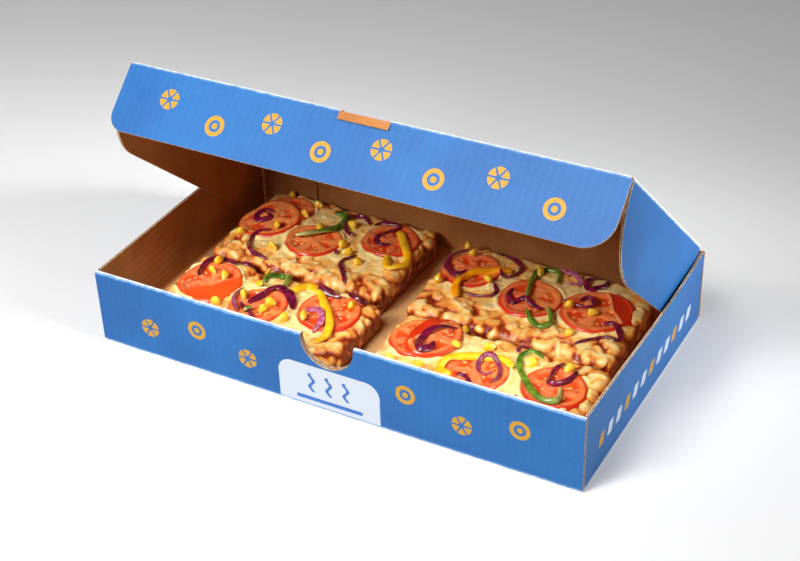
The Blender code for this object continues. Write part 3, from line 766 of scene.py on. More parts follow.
# %% Crease strips
def crease_strip(name, arcs, low_x, high_x, bodies):
    """Carry the outer and inner arc of a fold along X as one strip of board."""
    x = np.linspace(low_x, high_x, 41)
    faces = [stack(x, arc[:, 1:2], arc[:, 2:]) for arc in arcs]
    fold = np.abs(np.linspace(-1, 1, len(arcs[0])))[:, None] * 1.4 * MM
    strip = board_piece(name, slab(faces, (x, 1.0), x, fold, cuts="az"), bodies, crisp=50)
    start, end = (tuple((arcs[0][k] + arcs[1][k]) / 2) for k in (0, -1))
    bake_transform(strip)
    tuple(start)
    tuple(end)


def eased_arc(start, start_way, end, end_way, steps=12):
    """A Hermite curve between two points that leaves and arrives along the given ways."""
    t = np.linspace(0, 1, steps + 1)[:, None]
    pull = np.linalg.norm(end - start)
    return (
        start * (2 * t ** 3 - 3 * t ** 2 + 1) + start_way * pull * (t ** 3 - 2 * t ** 2 + t)
        + end * (3 * t ** 2 - 2 * t ** 3) + end_way * pull * (t ** 3 - t ** 2)
    )


up_wall = np.array([0.0, 0.0, 1.0])
along_lid = opened(0.0, 1.0, 0.0) - opened(0.0, 0.0, 0.0)
lid_arcs = [
    eased_arc(np.array([0, BACK - sunk, WALL - 1.5 * MM]), up_wall,
              opened(0.0, LID_REAR, LID_LOW + BOARD - sunk), along_lid)
    for sunk in (0, BOARD)
]
crease_strip("crease_of_lid", lid_arcs, -LID_TOP_WIDE, LID_TOP_WIDE, ("tray", "lid"))

turn = np.linspace(0, FLAP_TURN, 13)
flap_arcs = [
    opened(0.0, LID_DEPTH + radius * np.sin(turn), LID_LOW + radius * np.cos(turn))
    for radius in (BOARD, 0.1 * MM)
]
crease_strip("crease_of_flap_left", flap_arcs, -LID_TOP_WIDE, TAB_LEFT, ("lid", "front_flap"))
crease_strip("crease_of_flap_right", flap_arcs, TAB_RIGHT, LID_TOP_WIDE, ("lid", "front_flap"))

# %% [markdown]
# ## Food finishes
# Cheese shows what it lies on: where it is thin, the sauce comes through, and where it is
# thick it is pale. So one field, how thick the cheese is in mm, drives most of the colour,
# and a second one, how toasted it is, takes it on towards brown. Fat keeps it shiny.


# %% Finishes: cheese and bread
def ramp(f, value, stops):
    """A colour that runs through stops of (place, colour), eased between them."""
    made = f.node("ShaderNodeValToRGB", ((0, value),))
    band = made.socket.node.color_ramp
    band.interpolation = "EASE"
    band.elements[0].position, band.elements[0].color = stops[0]
    band.elements[1].position, band.elements[1].color = stops[-1]
    for place, colour in stops[1:-1]:
        band.elements.new(place).color = colour
    return made


def soft_food(name, roughness, subsurface, reach, **more):
    """A wet finish that lets light in a little way. reach is in metres for red."""
    f = Finish(name, Roughness=roughness, Subsurface_Weight=subsurface, Subsurface_Scale=reach, **more)
    f.shader.inputs["Subsurface Radius"].default_value = (1.0, 0.4, 0.15)
    return f


def baked_cheese():
    """Sauce where the cheese is thin, cream where it is thick, brown where it is toasted."""
    f = soft_food("baked cheese", 0.36, 0.3, 2.2 * MM, Specular_IOR_Level=0.5)
    toast = f.field("toast")
    level = (f.spots(260, 3.0) - 0.5) * 0.22 + f.field("thick") * 0.4
    body = ramp(f, level, (
        (0.0, light(126, 38, 14)), (0.12, light(178, 74, 28)), (0.27, light(227, 134, 58)),
        (0.48, light(243, 168, 76)), (0.82, light(251, 204, 116)), (1.0, light(254, 226, 154)),
    ))
    patch = f.between(f.spots(95, 3.0), 0.42, 0.66)
    body = f.mix(patch * f.between(toast, 0.0, 0.6) * 0.7, body, light(226, 146, 66))
    burnt = f.between(toast + f.spots(420, 3.0) * 0.8, 1.12, 1.5)
    f.colour(f.mix(burnt * 0.8, body, light(140, 66, 26)))
    f.bump((f.spots(300, 3.0), 0.6 * MM), (f.spots(1300, 2.0), 0.08 * MM))
    return f.material


def baked_bread():
    """A crumb that is golden at the middle, stained by sauce above and darker below."""
    f = Finish("baked bread", Roughness=0.72, Specular_IOR_Level=0.35)
    z = f.split(f.place())[2]
    stain = f.between(f.spots(120, 3.0) * (9 * MM) + z, 8 * MM, 15 * MM)
    crumb = f.mix(f.between(f.spots(300, 4.0), 0.35, 0.7), light(176, 108, 52), light(216, 154, 88))
    crumb = f.mix(f.between(z, 7 * MM, 3 * MM), crumb, light(150, 88, 42))
    f.colour(f.mix(stain * 0.85, crumb, light(146, 62, 28)))
    f.bump((f.spots(500, 4.0), 0.5 * MM))
    return f.material


cheese_finish, bread_finish = baked_cheese(), baked_bread()
print("cheese:", len(cheese_finish.node_tree.nodes), "nodes")

# %% [markdown]
# ## What the slices and toppings measure
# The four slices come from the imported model. The lists below say, in millimetres, where
# each slice is bare of melted cheese, so that sauce and separate shreds show, and where its
# toppings bend. A tomato slice is its middle, its radius, how much cheese has run over it,
# and how far its skin flares out at the bottom and in which direction, in degrees.

# %% Places of the slices and their bare patches
BARE = {
    "back_left": [
        (-178, 25, 16), (-150, 8, 16), (-105, 10, 20), (-62, 8, 16), (-36, 12, 20), (-28, 45, 12),
        (-27, 90, 18), (-130, 108, 12), (-60, 108, 10), (-160, 5, 14),
    ],
    "front_left": [
        (-18, -50, 20), (-22, -85, 20), (-20, -22, 14), (-60, -12, 10), (-130, -16, 10), (-180, -50, 10),
    ],
    "back_right": [
        (14, 15, 20), (46, 8, 22), (80, 8, 22), (122, 12, 20), (135, 6, 14), (170, 22, 14), (176, 60, 14),
        (8, 45, 12), (110, 98, 8), (174, 88, 12),
    ],
    "front_right": [
        (172, -24, 18), (180, -60, 16), (140, -14, 16), (100, -14, 8), (18, -90, 12), (118, -88, 8),
        (16, -18, 10),
    ],
}
# How lumpy each slice is near its left, right, front and back edge.
EDGES = {
    "back_left": (0.6, 1.0, 0.9, 0.3), "front_left": (0.5, 1.0, 0.8, 0.5),
    "back_right": (0.8, 0.9, 1.0, 0.2), "front_right": (0.5, 1.0, 0.8, 0.7),
}
SLICES = {name: tuple(np.array(corner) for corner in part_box("cheese_" + name)) for name in BARE}

TOMATOES = {
    "back_left": [
        (-158, 83, 22, 0.0, 0, 0), (-166, 62, 27, 0.0, 0.12, -30), (-113, 50, 24, 0.1, 0.05, -60),
        (-53, 78, 25, 0.1, 0.05, 30),
    ],
    "front_left": [
        (-158, -42, 27, 0.2, 0.22, -45), (-102, -55, 24, 0.5, 0, 0), (-45, -38, 26, 0.2, 0.05, 0),
    ],
    "back_right": [(29, 68, 25, 0.1, 0, 0), (91, 50, 26, 0.1, 0.05, 200), (145, 56, 28, 0.15, 0.2, 35)],
    "front_right": [
        (37, -37, 24.5, 0.3, 0.05, 200), (48, -33, 23, 0.0, 0.2, 165), (96, -57, 24, 0.45, 0, 0),
        (156, -49, 25, 0.25, 0.1, -20),
    ],
}
for name, (low, high) in SLICES.items():
    print(name, np.round((high - low)[:2] / MM), "mm,", len(TOMATOES[name]), "tomato slices")

# %% [markdown]
# ## A slice as a wrapped sheet
# The top of a slice runs over its rim and down its sides in one sheet. A rectangular
# lattice is laid over the slice, and what overhangs the flat part is bent round the rim.
# Everything on the slice, such as shreds and bubbles, is drawn on the flat lattice first,
# so it goes over the edge together with the sheet.


# %% Wrap a sheet over a block
def wrapped(low, high, top, bottom, rim, curl, step, relief):
    """Flat part, quarter turn, side and tuck under.

    s = the larger overhang beyond the flat part, in metres along the sheet
    reach(s) = rim sin(s / rim) up to the side, then less the tuck; level(s) falls likewise
    point = nearest flat point + outward * reach + up * level + normal * relief
    """
    inner_low, inner_high = low[:2] + rim, high[:2] - rim
    arc, drop, under = rim * math.pi / 2, top - rim - curl - bottom, curl * math.pi / 2
    span = arc + drop + under + 1.5 * MM
    counts = ((inner_high - inner_low + 2 * span) / step).astype(int)
    px, py = np.meshgrid(*(
        np.linspace(inner_low[k] - span, inner_high[k] + span, counts[k]) for k in (0, 1)
    ), indexing="ij")
    flat = np.clip(stack(px, py), inner_low, inner_high)
    over = stack(px, py) - flat
    s = np.abs(over).max(axis=-1)
    outward = over / np.maximum(np.hypot(over[..., 0], over[..., 1]), 1e-9)[..., None]
    turn, tuck = np.clip(s, 0, arc) / rim, np.clip(s - arc - drop, 0, under) / curl
    reach = rim * np.sin(turn) - curl * (1 - np.cos(tuck)) - np.maximum(s - arc - drop - under, 0)
    level = top - rim * (1 - np.cos(turn)) - np.clip(s - arc, 0, drop) - curl * np.sin(tuck)
    out = np.where(tuck > 0, np.cos(tuck), np.sin(turn))
    up = np.where(tuck > 0, -np.sin(tuck), np.cos(turn))
    lift, fields = relief(px, py, s)
    beside = flat + outward * (reach + out * lift)[..., None]
    return np.concatenate([beside, (level + up * lift)[..., None]], axis=-1), fields


def closed_below(points):
    """A fan from the border of a sheet to the middle of that border."""
    border = np.concatenate([points[0], points[1:, -1], points[-1, -2::-1], points[-2::-1, 0]])
    share = np.linspace(0, 1, 5)[:, None, None]
    return grid(border * (1 - share) + border.mean(axis=0) * share)


# %% [markdown]
# ### Shreds, bubbles and melted cheese
# A shred is a bent capsule with a domed top. It is laid on what is there already and keeps
# the higher of the two, so later shreds overlap earlier ones. Where a shred thins out
# towards its edge the colour turns to sauce, which draws the dark line between shreds.


# %% The sheet and one shred
class Sheet:
    """Height, cheese thickness and toast on a slice's flat lattice, all in mm."""

    def __init__(self, px, py, s, seed):
        self.x, self.y, self.side, self.seed = px / MM, py / MM, s / MM, seed
        self.height = np.zeros_like(self.x)
        self.thick, self.toast = self.height.copy(), self.height.copy()
        self.first = self.x[0, 0], self.y[0, 0]
        self.step = self.x[1, 0] - self.x[0, 0], self.y[0, 1] - self.y[0, 0]

    def rough(self, scale, number):
        """Noise over the lattice in lumps of this many mm."""
        return noise(self.x, self.y, scale, self.seed + number)

    def places(self, spacing, rng):
        """Places all over the lattice, one a square of this spacing, each a little off."""
        rows = (np.arange(axis.min(), axis.max(), spacing) for axis in (self.x, self.y))
        gx, gy = (v.ravel() for v in np.meshgrid(*rows))
        return zip(*(v + rng.uniform(-0.55, 0.55, v.size) * spacing for v in (gx, gy)))

    def window(self, x, y, reach):
        """The part of the lattice within reach of a place."""
        spans = []
        for k, centre in enumerate((x, y)):
            start = int((centre - reach - self.first[k]) / self.step[k])
            stop = int((centre + reach - self.first[k]) / self.step[k]) + 2
            spans.append(slice(max(start, 0), max(stop, 0)))
        return tuple(spans)

    def lay(self, x, y, length, width, height, turn, bow, toast, sunk, soft, ragged, keep):
        """One shred: dome = (1 - d^2)^soft over the distance d to its middle line.

        sunk = how far the shred is raised with what it lies on, keep = how much of the
        cheese below still shows as thickness where the shred is thin
        """
        part = self.window(x, y, length / 2 + width)
        here = self.x[part], self.y[part]
        dx, dy = here[0] - x, here[1] - y
        if dx.size < 4:
            return
        along = dx * math.cos(turn) + dy * math.sin(turn)
        across = dy * math.cos(turn) - dx * math.sin(turn) - bow * (along ** 2 * 4 / length ** 2 - 0.5)
        reach = np.maximum(np.abs(along) - (length - width) / 2, 0)
        d = (reach ** 2.6 + np.abs(across) ** 2.6) ** (1 / 2.6) / (width / 2)
        d = d * (1 + ragged * (noise(*here, 4.6, 77) + 0.4 * noise(*here, 2.1, 78)))
        inside = np.clip(1 - d ** 2, 0, 1)
        dome = inside ** soft
        rest = self.height[part][d < 0.5]
        level = sunk * (rest.mean() if rest.size else 0.0) + height * dome
        above = (dome > 0) & (level > self.height[part])
        self.height[part] = np.where(above, level, self.height[part])
        fill = np.maximum(height * inside ** 0.8, keep * self.thick[part])
        self.thick[part] = np.where(above, fill, self.thick[part])
        self.toast[part] = np.where(above, toast * (0.5 + 0.5 * dome), self.toast[part])


# %% Blur, bare places and the kinds of shred
def blurred(values, passes):
    """Each point shared with its neighbours, 1 2 1 both ways."""
    for _ in range(passes):
        for axis in (0, 1):
            values = np.swapaxes(values, 0, axis)
            padded = np.concatenate([values[:1], values, values[-1:]])
            values = np.swapaxes((padded[:-2] + 2 * values + padded[2:]) / 4, 0, axis)
    return values


def bareness(name, x, y):
    """0 where cheese has melted smooth, 1 where sauce and separate shreds show."""
    low, high = (corner[:2] / MM for corner in SLICES[name])
    amount = np.zeros(np.broadcast(x, y).shape)
    for bx, by, radius in BARE[name]:
        amount = np.maximum(amount, smoothstep(radius * 1.15, radius * 0.6, np.hypot(x - bx, y - by)))
    for edge, distance in zip(EDGES[name], (x - low[0], high[0] - x, y - low[1], high[1] - y)):
        amount = np.maximum(amount, edge * smoothstep(11, 1, distance))
    return np.clip(amount + 0.22 * noise(x, y, 7, 41) * (amount > 0.02), 0, 1)


# Where the oven has scorched the cheese: place and radius in mm.
SCORCHED = {"back_left": [(-181, 10, 17), (-150, 5, 9)], "front_right": [(30, -6, 8)]}

# Kind by kind, the spacing in mm and the share of places taken, the least and most length,
# width and height in mm, how flat the top is and how ragged the rim.
SHREDS = {
    "plate": (9.5, 0.5, (11, 19), (8, 13), (1.6, 3.0), 0.3, 0.5),
    "lump": (10.5, 0.55, (8, 13), (6.4, 9.2), (2.0, 3.8), 0.42, 0.35),
    "shred": (15.0, 0.55, (13, 19), (5.8, 7.4), (2.0, 3.2), 0.42, 0.25),
}
print("kinds of shred:", ", ".join(SHREDS))


# %% The relief of a slice
def pour(sheet, bare, rough):
    """Melted cheese over a rough base. It thins where the slice is bare and down its sides."""
    hangs = smoothstep(17, 8, sheet.side + 4 * sheet.rough(6, 3))
    melt = np.clip(2.2 + 0.7 * sheet.rough(13, 4) + 0.5 * sheet.rough(5, 5), 0.5, 3)
    melt = melt * (1 - smoothstep(0.2, 0.75, bare)) * hangs
    sheet.thick = melt + 0.25 * np.abs(sheet.rough(2.4, 6))
    sheet.height = 0.9 * melt + rough
    rim_toast = 0.4 * smoothstep(-9, 5, sheet.side)
    sheet.toast = np.clip(-0.12 + 0.45 * sheet.rough(16, 7) + rim_toast, 0, 1)


def scatter(sheet, name, rng):
    """Low bubbles all over, a few of them brown, then plates, lumps and shreds where it is bare."""
    for x, y in sheet.places(12.0, rng):
        size = rng.uniform(4, 9)
        brown = max(0.0, rng.uniform(-9.0, 0.6))
        low_dome, turn = rng.uniform(0.5, 1.1), rng.uniform(0, 3)
        sheet.lay(x, y, size, size * 0.9, low_dome, turn, 0, brown, 0.95, 1.0, 0.3, keep=1.0)
    for spacing, share, *sizes, flat, ragged in SHREDS.values():
        for x, y in sheet.places(spacing, rng):
            open_here = float(bareness(name, np.array([x]), np.array([y]))[0])
            nearby = sheet.side[sheet.window(x, y, 0.1)]
            hidden = smoothstep(8, 14, nearby.mean() if nearby.size else 0)
            if rng.random() > (0.12 + share * open_here) * (1 - 0.6 * hidden) and nearby.size:
                continue
            length, width, height = (rng.uniform(*pair) for pair in sizes)
            turn, bow, toast = rng.uniform(0, math.pi), rng.uniform(-1.6, 1.6), rng.uniform(0, 0.75)
            sheet.lay(
                x, y, length, width, height * (0.3 + 0.7 * open_here), turn, bow, toast * open_here,
                0.45 if open_here > 0.3 else 0.9, flat, ragged, keep=1 - open_here,
            )


def settle(sheet, name, bare, rough):
    """A flat bed under each tomato slice, and a bank of cheese that has run up against it."""
    for x, y, radius, *_ in TOMATOES[name]:
        away = np.hypot(sheet.x - x, sheet.y - y) - radius
        under = smoothstep(1.0, -1.5, away)
        sheet.height = sheet.height * (1 - under) + (0.6 + 0.3 * rough) * under
        bank = np.clip(1 - np.abs(away - 1.2) / 3.0, 0, 1) ** 0.7 * (1.9 + 1.2 * sheet.rough(8, 8))
        bank = bank * (1 - 0.7 * bare)
        sheet.height, sheet.thick = sheet.height + bank, sheet.thick + 0.5 * bank


def scorch(sheet, name):
    """Burnt places, and sides where the cheese is cut away from the sauce."""
    for x, y, radius in SCORCHED.get(name, ()):
        away = np.hypot(sheet.x - x, sheet.y - y) + 4 * sheet.rough(5, 11)
        sheet.toast = np.maximum(sheet.toast, smoothstep(radius, 0.2 * radius, away))
    bared = smoothstep(3, 8, sheet.side + 3 * sheet.rough(7, 9)) * smoothstep(-0.75, -0.2, sheet.rough(8, 10))
    sheet.thick = sheet.thick * (1 - 0.95 * bared)


def slice_relief(name, seed):
    """The relief of one slice as a rule that wrapped() can call."""
    def relief(px, py, s):
        sheet = Sheet(px, py, s, seed)
        bare = bareness(name, sheet.x, sheet.y)
        rough = 0.9 * sheet.rough(21, 0) + 0.45 * sheet.rough(8, 1) + 0.2 * sheet.rough(3.5, 2)
        pour(sheet, bare, rough)
        scatter(sheet, name, np.random.default_rng(seed))
        settle(sheet, name, bare, rough)
        scorch(sheet, name)
        lift = blurred(sheet.height, 1) * (1 - 0.35 * smoothstep(4, 10, sheet.side)) * MM
        return lift, {"thick": blurred(sheet.thick, 1), "toast": sheet.toast}

    return relief


# %% The four slices
# Top, bottom, rim, curl of the lower edge and lattice step, and how far it is drawn in.
CHEESE_SHEET, CHEESE_IN = (23 * MM, 8 * MM, 6 * MM, 2.4 * MM, 0.8 * MM), 2.6 * MM
BREAD_SHEET, BREAD_IN = (15 * MM, 2.1 * MM, 3 * MM, 2 * MM, 1.6 * MM), 3.2 * MM


def crumb(px, py, s):
    """The relief of the bread: soft lumps all over."""
    return (0.9 * noise(px, py, 9 * MM, 5) + 0.5 * noise(px, py, 3 * MM, 6)) * MM, {}


slice_points = {}
for number, (name, (low, high)) in enumerate(SLICES.items()):
    relief = slice_relief(name, 10 + 20 * number)
    points, fields = wrapped(low + CHEESE_IN, high - CHEESE_IN, *CHEESE_SHEET, relief)
    slice_points[name] = points
    make_piece(
        "baked_cheese_" + name, [grid(points, 0, **fields), closed_below(points)], [cheese_finish],
        "tray", ["cheese_" + name], fields=("thick", "toast"),
    )
    points, _ = wrapped(low + BREAD_IN, high - BREAD_IN, *BREAD_SHEET, crumb)
    make_piece(
        "bread_" + name, [grid(points), closed_below(points)], [bread_finish], "tray",
        ["crust_" + name],
    )


# %% [markdown]
# ## The heap
# Toppings lie on whatever is below them. A raster over the tray keeps the height of the
# heap so far. Each topping reads it, is bent to lie on it, and is then stamped into it.


# %% The heap's raster
class Heap:
    """Top heights on a lattice of 1 mm cells over the tray, in metres."""

    def __init__(self):
        self.low = tray_low[:2]
        self.height = np.zeros(tuple(((tray_high - tray_low)[:2] / MM).astype(int) + 2))

    def stamp(self, points):
        """Raise the heap to these points, and fill the cells that none of them hit."""
        points = points.reshape(-1, 3)
        cells = ((points[:, :2] - self.low) / MM).astype(int)
        i, j = np.clip(cells, 1, np.array(self.height.shape) - 3).T
        top = np.zeros_like(self.height)
        np.maximum.at(top, (i, j), points[:, 2])
        around = top.copy()
        for di, dj in ((0, 1), (1, 0), (0, -1), (-1, 0)):
            around = np.maximum(around, np.roll(top, (di, dj), (0, 1)))
        self.height = np.maximum(self.height, np.where(top > 0, top, around))

    def at(self, x, y, smooth=0):
        """The height at each place, of the heap as it is or blurred this many times."""
        table = blurred(self.height, smooth)
        u, v = (
            np.clip((place - low) / MM - 0.5, 0, count - 2.001)
            for place, low, count in zip((x, y), self.low, table.shape)
        )
        i, j = u.astype(int), v.astype(int)
        u, v = u - i, v - j
        return (
            table[i, j] * (1 - u) * (1 - v) + table[i + 1, j] * u * (1 - v)
            + table[i, j + 1] * (1 - u) * v + table[i + 1, j + 1] * u * v
        )


heap = Heap()
for name, points in slice_points.items():
    heap.stamp(points)
print("heap up to", round(heap.height.max() / MM, 1), "mm")

# %% [markdown]
# ## Tomato slices
# Cut across, a tomato is a ring of firm flesh inside a thin skin, with spokes of flesh
# between hollows of jelly, and seeds in the jelly. The hollows lie a little lower and are
# darker and wetter. Baking has wrinkled the slices and some have cheese run over them.


# %% Finish: tomato
TOMATO_FIELDS = ("skin", "pale", "jelly", "seed", "veil", "sallow", "orange")


def tomato_flesh():
    """Skin, pale flesh, jelly, seeds and the veil of cheese, each from its own field."""
    f = soft_food("cooked tomato", 0.28, 0.2, 2.2 * MM, Coat_Weight=0.7, Coat_Roughness=0.08)
    skin, pale, jelly, seed, veil, sallow, orange = (f.field(name) for name in TOMATO_FIELDS)
    cloud = f.spots(140, 3.0)
    flesh = f.mix(f.between(cloud, 0.32, 0.68), light(232, 78, 36), light(248, 112, 58))
    flesh = f.mix(sallow * 0.7, flesh, light(252, 150, 66))
    flesh = f.mix(pale * f.between(f.spots(230, 3.0), 0.3, 0.6) * 0.7, flesh, light(253, 168, 112))
    flesh = f.mix(jelly * 0.9, flesh, f.mix(cloud, light(224, 36, 14), light(240, 96, 34)))
    flesh = f.mix(seed * 0.9, flesh, light(252, 206, 124))
    flesh = f.mix(skin * 0.9, flesh, f.mix(orange, light(216, 36, 16), light(244, 92, 24)))
    run = f.between(f.spots(110, 3.0) * 1.3 + veil * 0.8, 0.98, 1.3)
    f.colour(f.mix(run * 0.85, flesh, light(240, 158, 82)))
    f.bump((f.spots(420, 3.0), 0.4 * MM), (f.spots(1300, 2.0), 0.12 * MM))
    return f.material


tomato_finish = tomato_flesh()


# %% Slices that differ
TOMATO_THICK, DROOP = 4 * MM, 6 * MM
TOMATO_ROWS_STAMPED = 37
# Slices from near the tomato's end show a cap of skin: which way it lies in degrees, how far
# from the middle it starts as a share of the radius, and how orange it is.
CAPS = {"front_left_1": (-42, 0.28, 0.8), "back_right_3": (38, 0.52, 0.1), "front_right_2": (152, 0.3, 0.15)}
# How much a slice of a long tomato is drawn in across and drawn out along.
LONG = {"front_right_2": (0.82, 1.24)}
print(len(CAPS), "slices with a cap of skin")


# %% Seeds, and the bed of a limp slice
def seeds_in(px, py, x, y, radius, hollow, rng):
    """Seeds that point outward in the hollows of jelly: 1 on a seed and 0 beside it."""
    seeds = np.zeros(px.shape)
    for _ in range(34):
        r, a = rng.uniform(0.34, 0.70) * radius, rng.uniform(0, math.tau)
        dx, dy = px - x - r * math.cos(a), py - y - r * math.sin(a)
        along, sideways = dx * math.cos(a) + dy * math.sin(a), dy * math.cos(a) - dx * math.sin(a)
        spot = smoothstep(1.15, 0.55, np.hypot(along / (1.7 * MM), sideways / (1.0 * MM)))
        seeds = np.maximum(seeds, spot * smoothstep(0.3, 0.7, hollow))
    return seeds


def limp_bed(px, py, x, y, inside):
    """Where a limp slice comes to lie: partly on the heap's best plane, partly on the heap.

    under = the blurred heap, but never more than DROOP below its middle height
    bed = 0.45 plane + 0.55 under, raised until just over half of the heap is below it
    """
    under = heap.at(px, py, 10)
    lowest = np.median(under[inside]) - DROOP
    under = (under + lowest + np.hypot(under - lowest, 3 * MM)) / 2
    terms = stack(1.0, px - x, py - y)
    plane = np.linalg.lstsq(terms[inside].reshape(-1, 3), under[inside].ravel(), rcond=None)[0]
    bed = 0.45 * (terms @ plane) + 0.55 * under
    return bed + np.percentile((heap.at(px, py) - bed)[inside], 55) - 0.5 * MM


# %% One tomato slice
def tomato_slice(name, x, y, radius, veil, flare, toward, seed):
    """A disc in polar rows: flat top, round skin side, flat underside, bent over the heap.

    A slice from near the tomato's end is a cone: its skin flares outward going down, by
    flare as a share of the radius, most in the direction toward.
    """
    rng = np.random.default_rng(seed)
    x, y, radius = x * MM, y * MM, radius * MM
    angle = np.linspace(0, math.tau, 97)[None]
    top = np.linspace(0, 0.955, 34)[:, None]
    side = np.radians(np.linspace(0, 180, 9))[1:, None]
    share = np.concatenate([top, 0.955 + 0.045 * np.sin(side), [[0.7], [0.35], [0.0]]])
    level = np.concatenate([top * 0 + 1, np.cos(side), [[-1], [-1], [-1]]])
    on_top = level > 0.99
    skirt = flare * np.clip(np.cos(angle - math.radians(toward)), 0, 1) ** 0.7 * (1 - level) / 2
    wobble = 0.025 * np.sin(2 * angle + rng.uniform(0, 6)) + 0.018 * np.sin(3 * angle + rng.uniform(0, 6))
    across = (share + skirt * (share > 0.9)) * radius * (1 + wobble * share)
    narrow, long = LONG.get(name, (1, 1))
    px, py = x + across * narrow * np.cos(angle), y + across * long * np.sin(angle)

    cap_way, cap_start, orange = CAPS.get(name, (0, 2, 0))
    beyond = share * np.cos(angle - math.radians(cap_way)) - cap_start + 0.05 * np.sin(3 * angle)
    cap, cap_rim = smoothstep(-0.03, 0.03, beyond) * on_top, np.exp(-(beyond / 0.04) ** 2) * on_top
    count = rng.integers(4, 7)
    spoke = np.abs((angle / math.tau * count + rng.uniform(0, 1) + 0.12 * np.sin(2 * angle)) % 1 - 0.5) * 2
    spoke_width = 0.30 / np.maximum(share, 0.12) * 0.55
    hollow = smoothstep(0.24, 0.36, share) * smoothstep(0.80, 0.70, share)
    hollow = hollow * smoothstep(spoke_width, spoke_width + 0.28, 1 - spoke)
    hollow = hollow * on_top * (1 - cap) * (1 - cap_rim)
    spokes = smoothstep(0.45, 0.95, 1 - hollow) * smoothstep(0.2, 0.35, share) * smoothstep(0.82, 0.74, share)
    pale = np.exp(-(share / 0.24) ** 2) + 0.75 * spokes + 0.8 * np.exp(-((share - 0.86) / 0.045) ** 2)
    seeds = seeds_in(px, py, x, y, radius, hollow, rng)

    wrinkle = noise(px, py, 7 * MM, seed) * 0.5 + noise(px, py, 2.6 * MM, seed + 1) * 0.28
    ridge = np.exp(-((share - 0.86) / 0.07) ** 2)
    lift = on_top * (wrinkle + 0.5 * ridge - 1.15 * hollow + 0.7 * seeds) * (1 - 0.7 * cap)
    slope = 6 * np.clip(beyond, 0, 1) ** 1.4
    lift = (lift + 0.9 * cap_rim + 0.8 * cap - slope * cap) * MM
    bed = limp_bed(px, py, x, y, share[:, 0] < 0.95)
    points = stack(px, py, bed + TOMATO_THICK / 2 * (1 + level) + lift)
    heap.stamp(points[:TOMATO_ROWS_STAMPED])
    skin = (level < 0.8) * 1.0 + smoothstep(0.945, 0.975, share) * (level > 0.79)
    patches = noise(px, py, 26 * MM, seed + 2) + rng.uniform(-0.6, 0.6)
    fields = {
        "skin": np.maximum(skin, cap * (1 - cap_rim)), "jelly": hollow, "seed": seeds,
        "pale": np.maximum(np.clip(pale, 0, 1) * (1 - cap), 2.2 * cap_rim) * on_top,
        "veil": veil * (0.55 + 0.45 * smoothstep(0.2, 1.0, share)),
        "sallow": smoothstep(-0.5, 0.9, patches) * on_top * (1 - cap), "orange": orange,
    }
    make_piece(
        "slice_tomato_" + name, [grid(points, 0, **fields)], [tomato_finish], "tray", ["tomato_" + name],
        fields=TOMATO_FIELDS,
    )


# %% Lay the tomato slices
seed = 300
for place, rows in TOMATOES.items():
    for number, row in enumerate(rows, 1):
        seed += 3
        tomato_slice(f"{place}_{number}", *row, seed)

# %% [markdown]
# ## Strips of pepper and onion
# A strip is a cross section carried along a bent line. Its line runs over the heap, but a
# strip is too stiff to follow every bump, so its heights are the heap's, taken at their
# highest nearby and then evened out. The section rolls as it goes and narrows at its ends.

# %% Where the strips bend
GREEN_PEPPERS = {
    "back_left": [[(-119, 95), (-111, 97), (-104, 90), (-104, 76), (-112, 60), (-128, 44)]],
    "front_left": [[(-115, -25), (-117, -18), (-113, -10), (-107, -7), (-100, -11), (-97, -19), (-96, -26)]],
    "back_right": [
        [(102, 77), (98, 93), (88, 96), (79, 91), (81, 76), (86, 56), (91, 42)],
        [(95, 33), (103, 23), (114, 18), (120, 24), (116, 34), (108, 41)],
    ],
    "front_right": [[(135, -21), (123, -16), (118, -27), (128, -46), (150, -68), (166, -68), (161, -50)]],
}
YELLOW_PEPPERS = {
    "back_left": [[(-53, 93), (-39, 77), (-27, 60), (-24, 47), (-33, 39), (-43, 53)]],
    "front_left": [[(-85, -38), (-85, -22), (-79, -12), (-65, -19), (-38, -50), (-31, -67), (-33, -81)]],
    "back_right": [[(62, 80), (39, 67), (30, 54), (29, 38), (38, 24)]],
    "front_right": [[(119, -44), (106, -37), (79, -47), (70, -56), (69, -69), (82, -73)]],
}
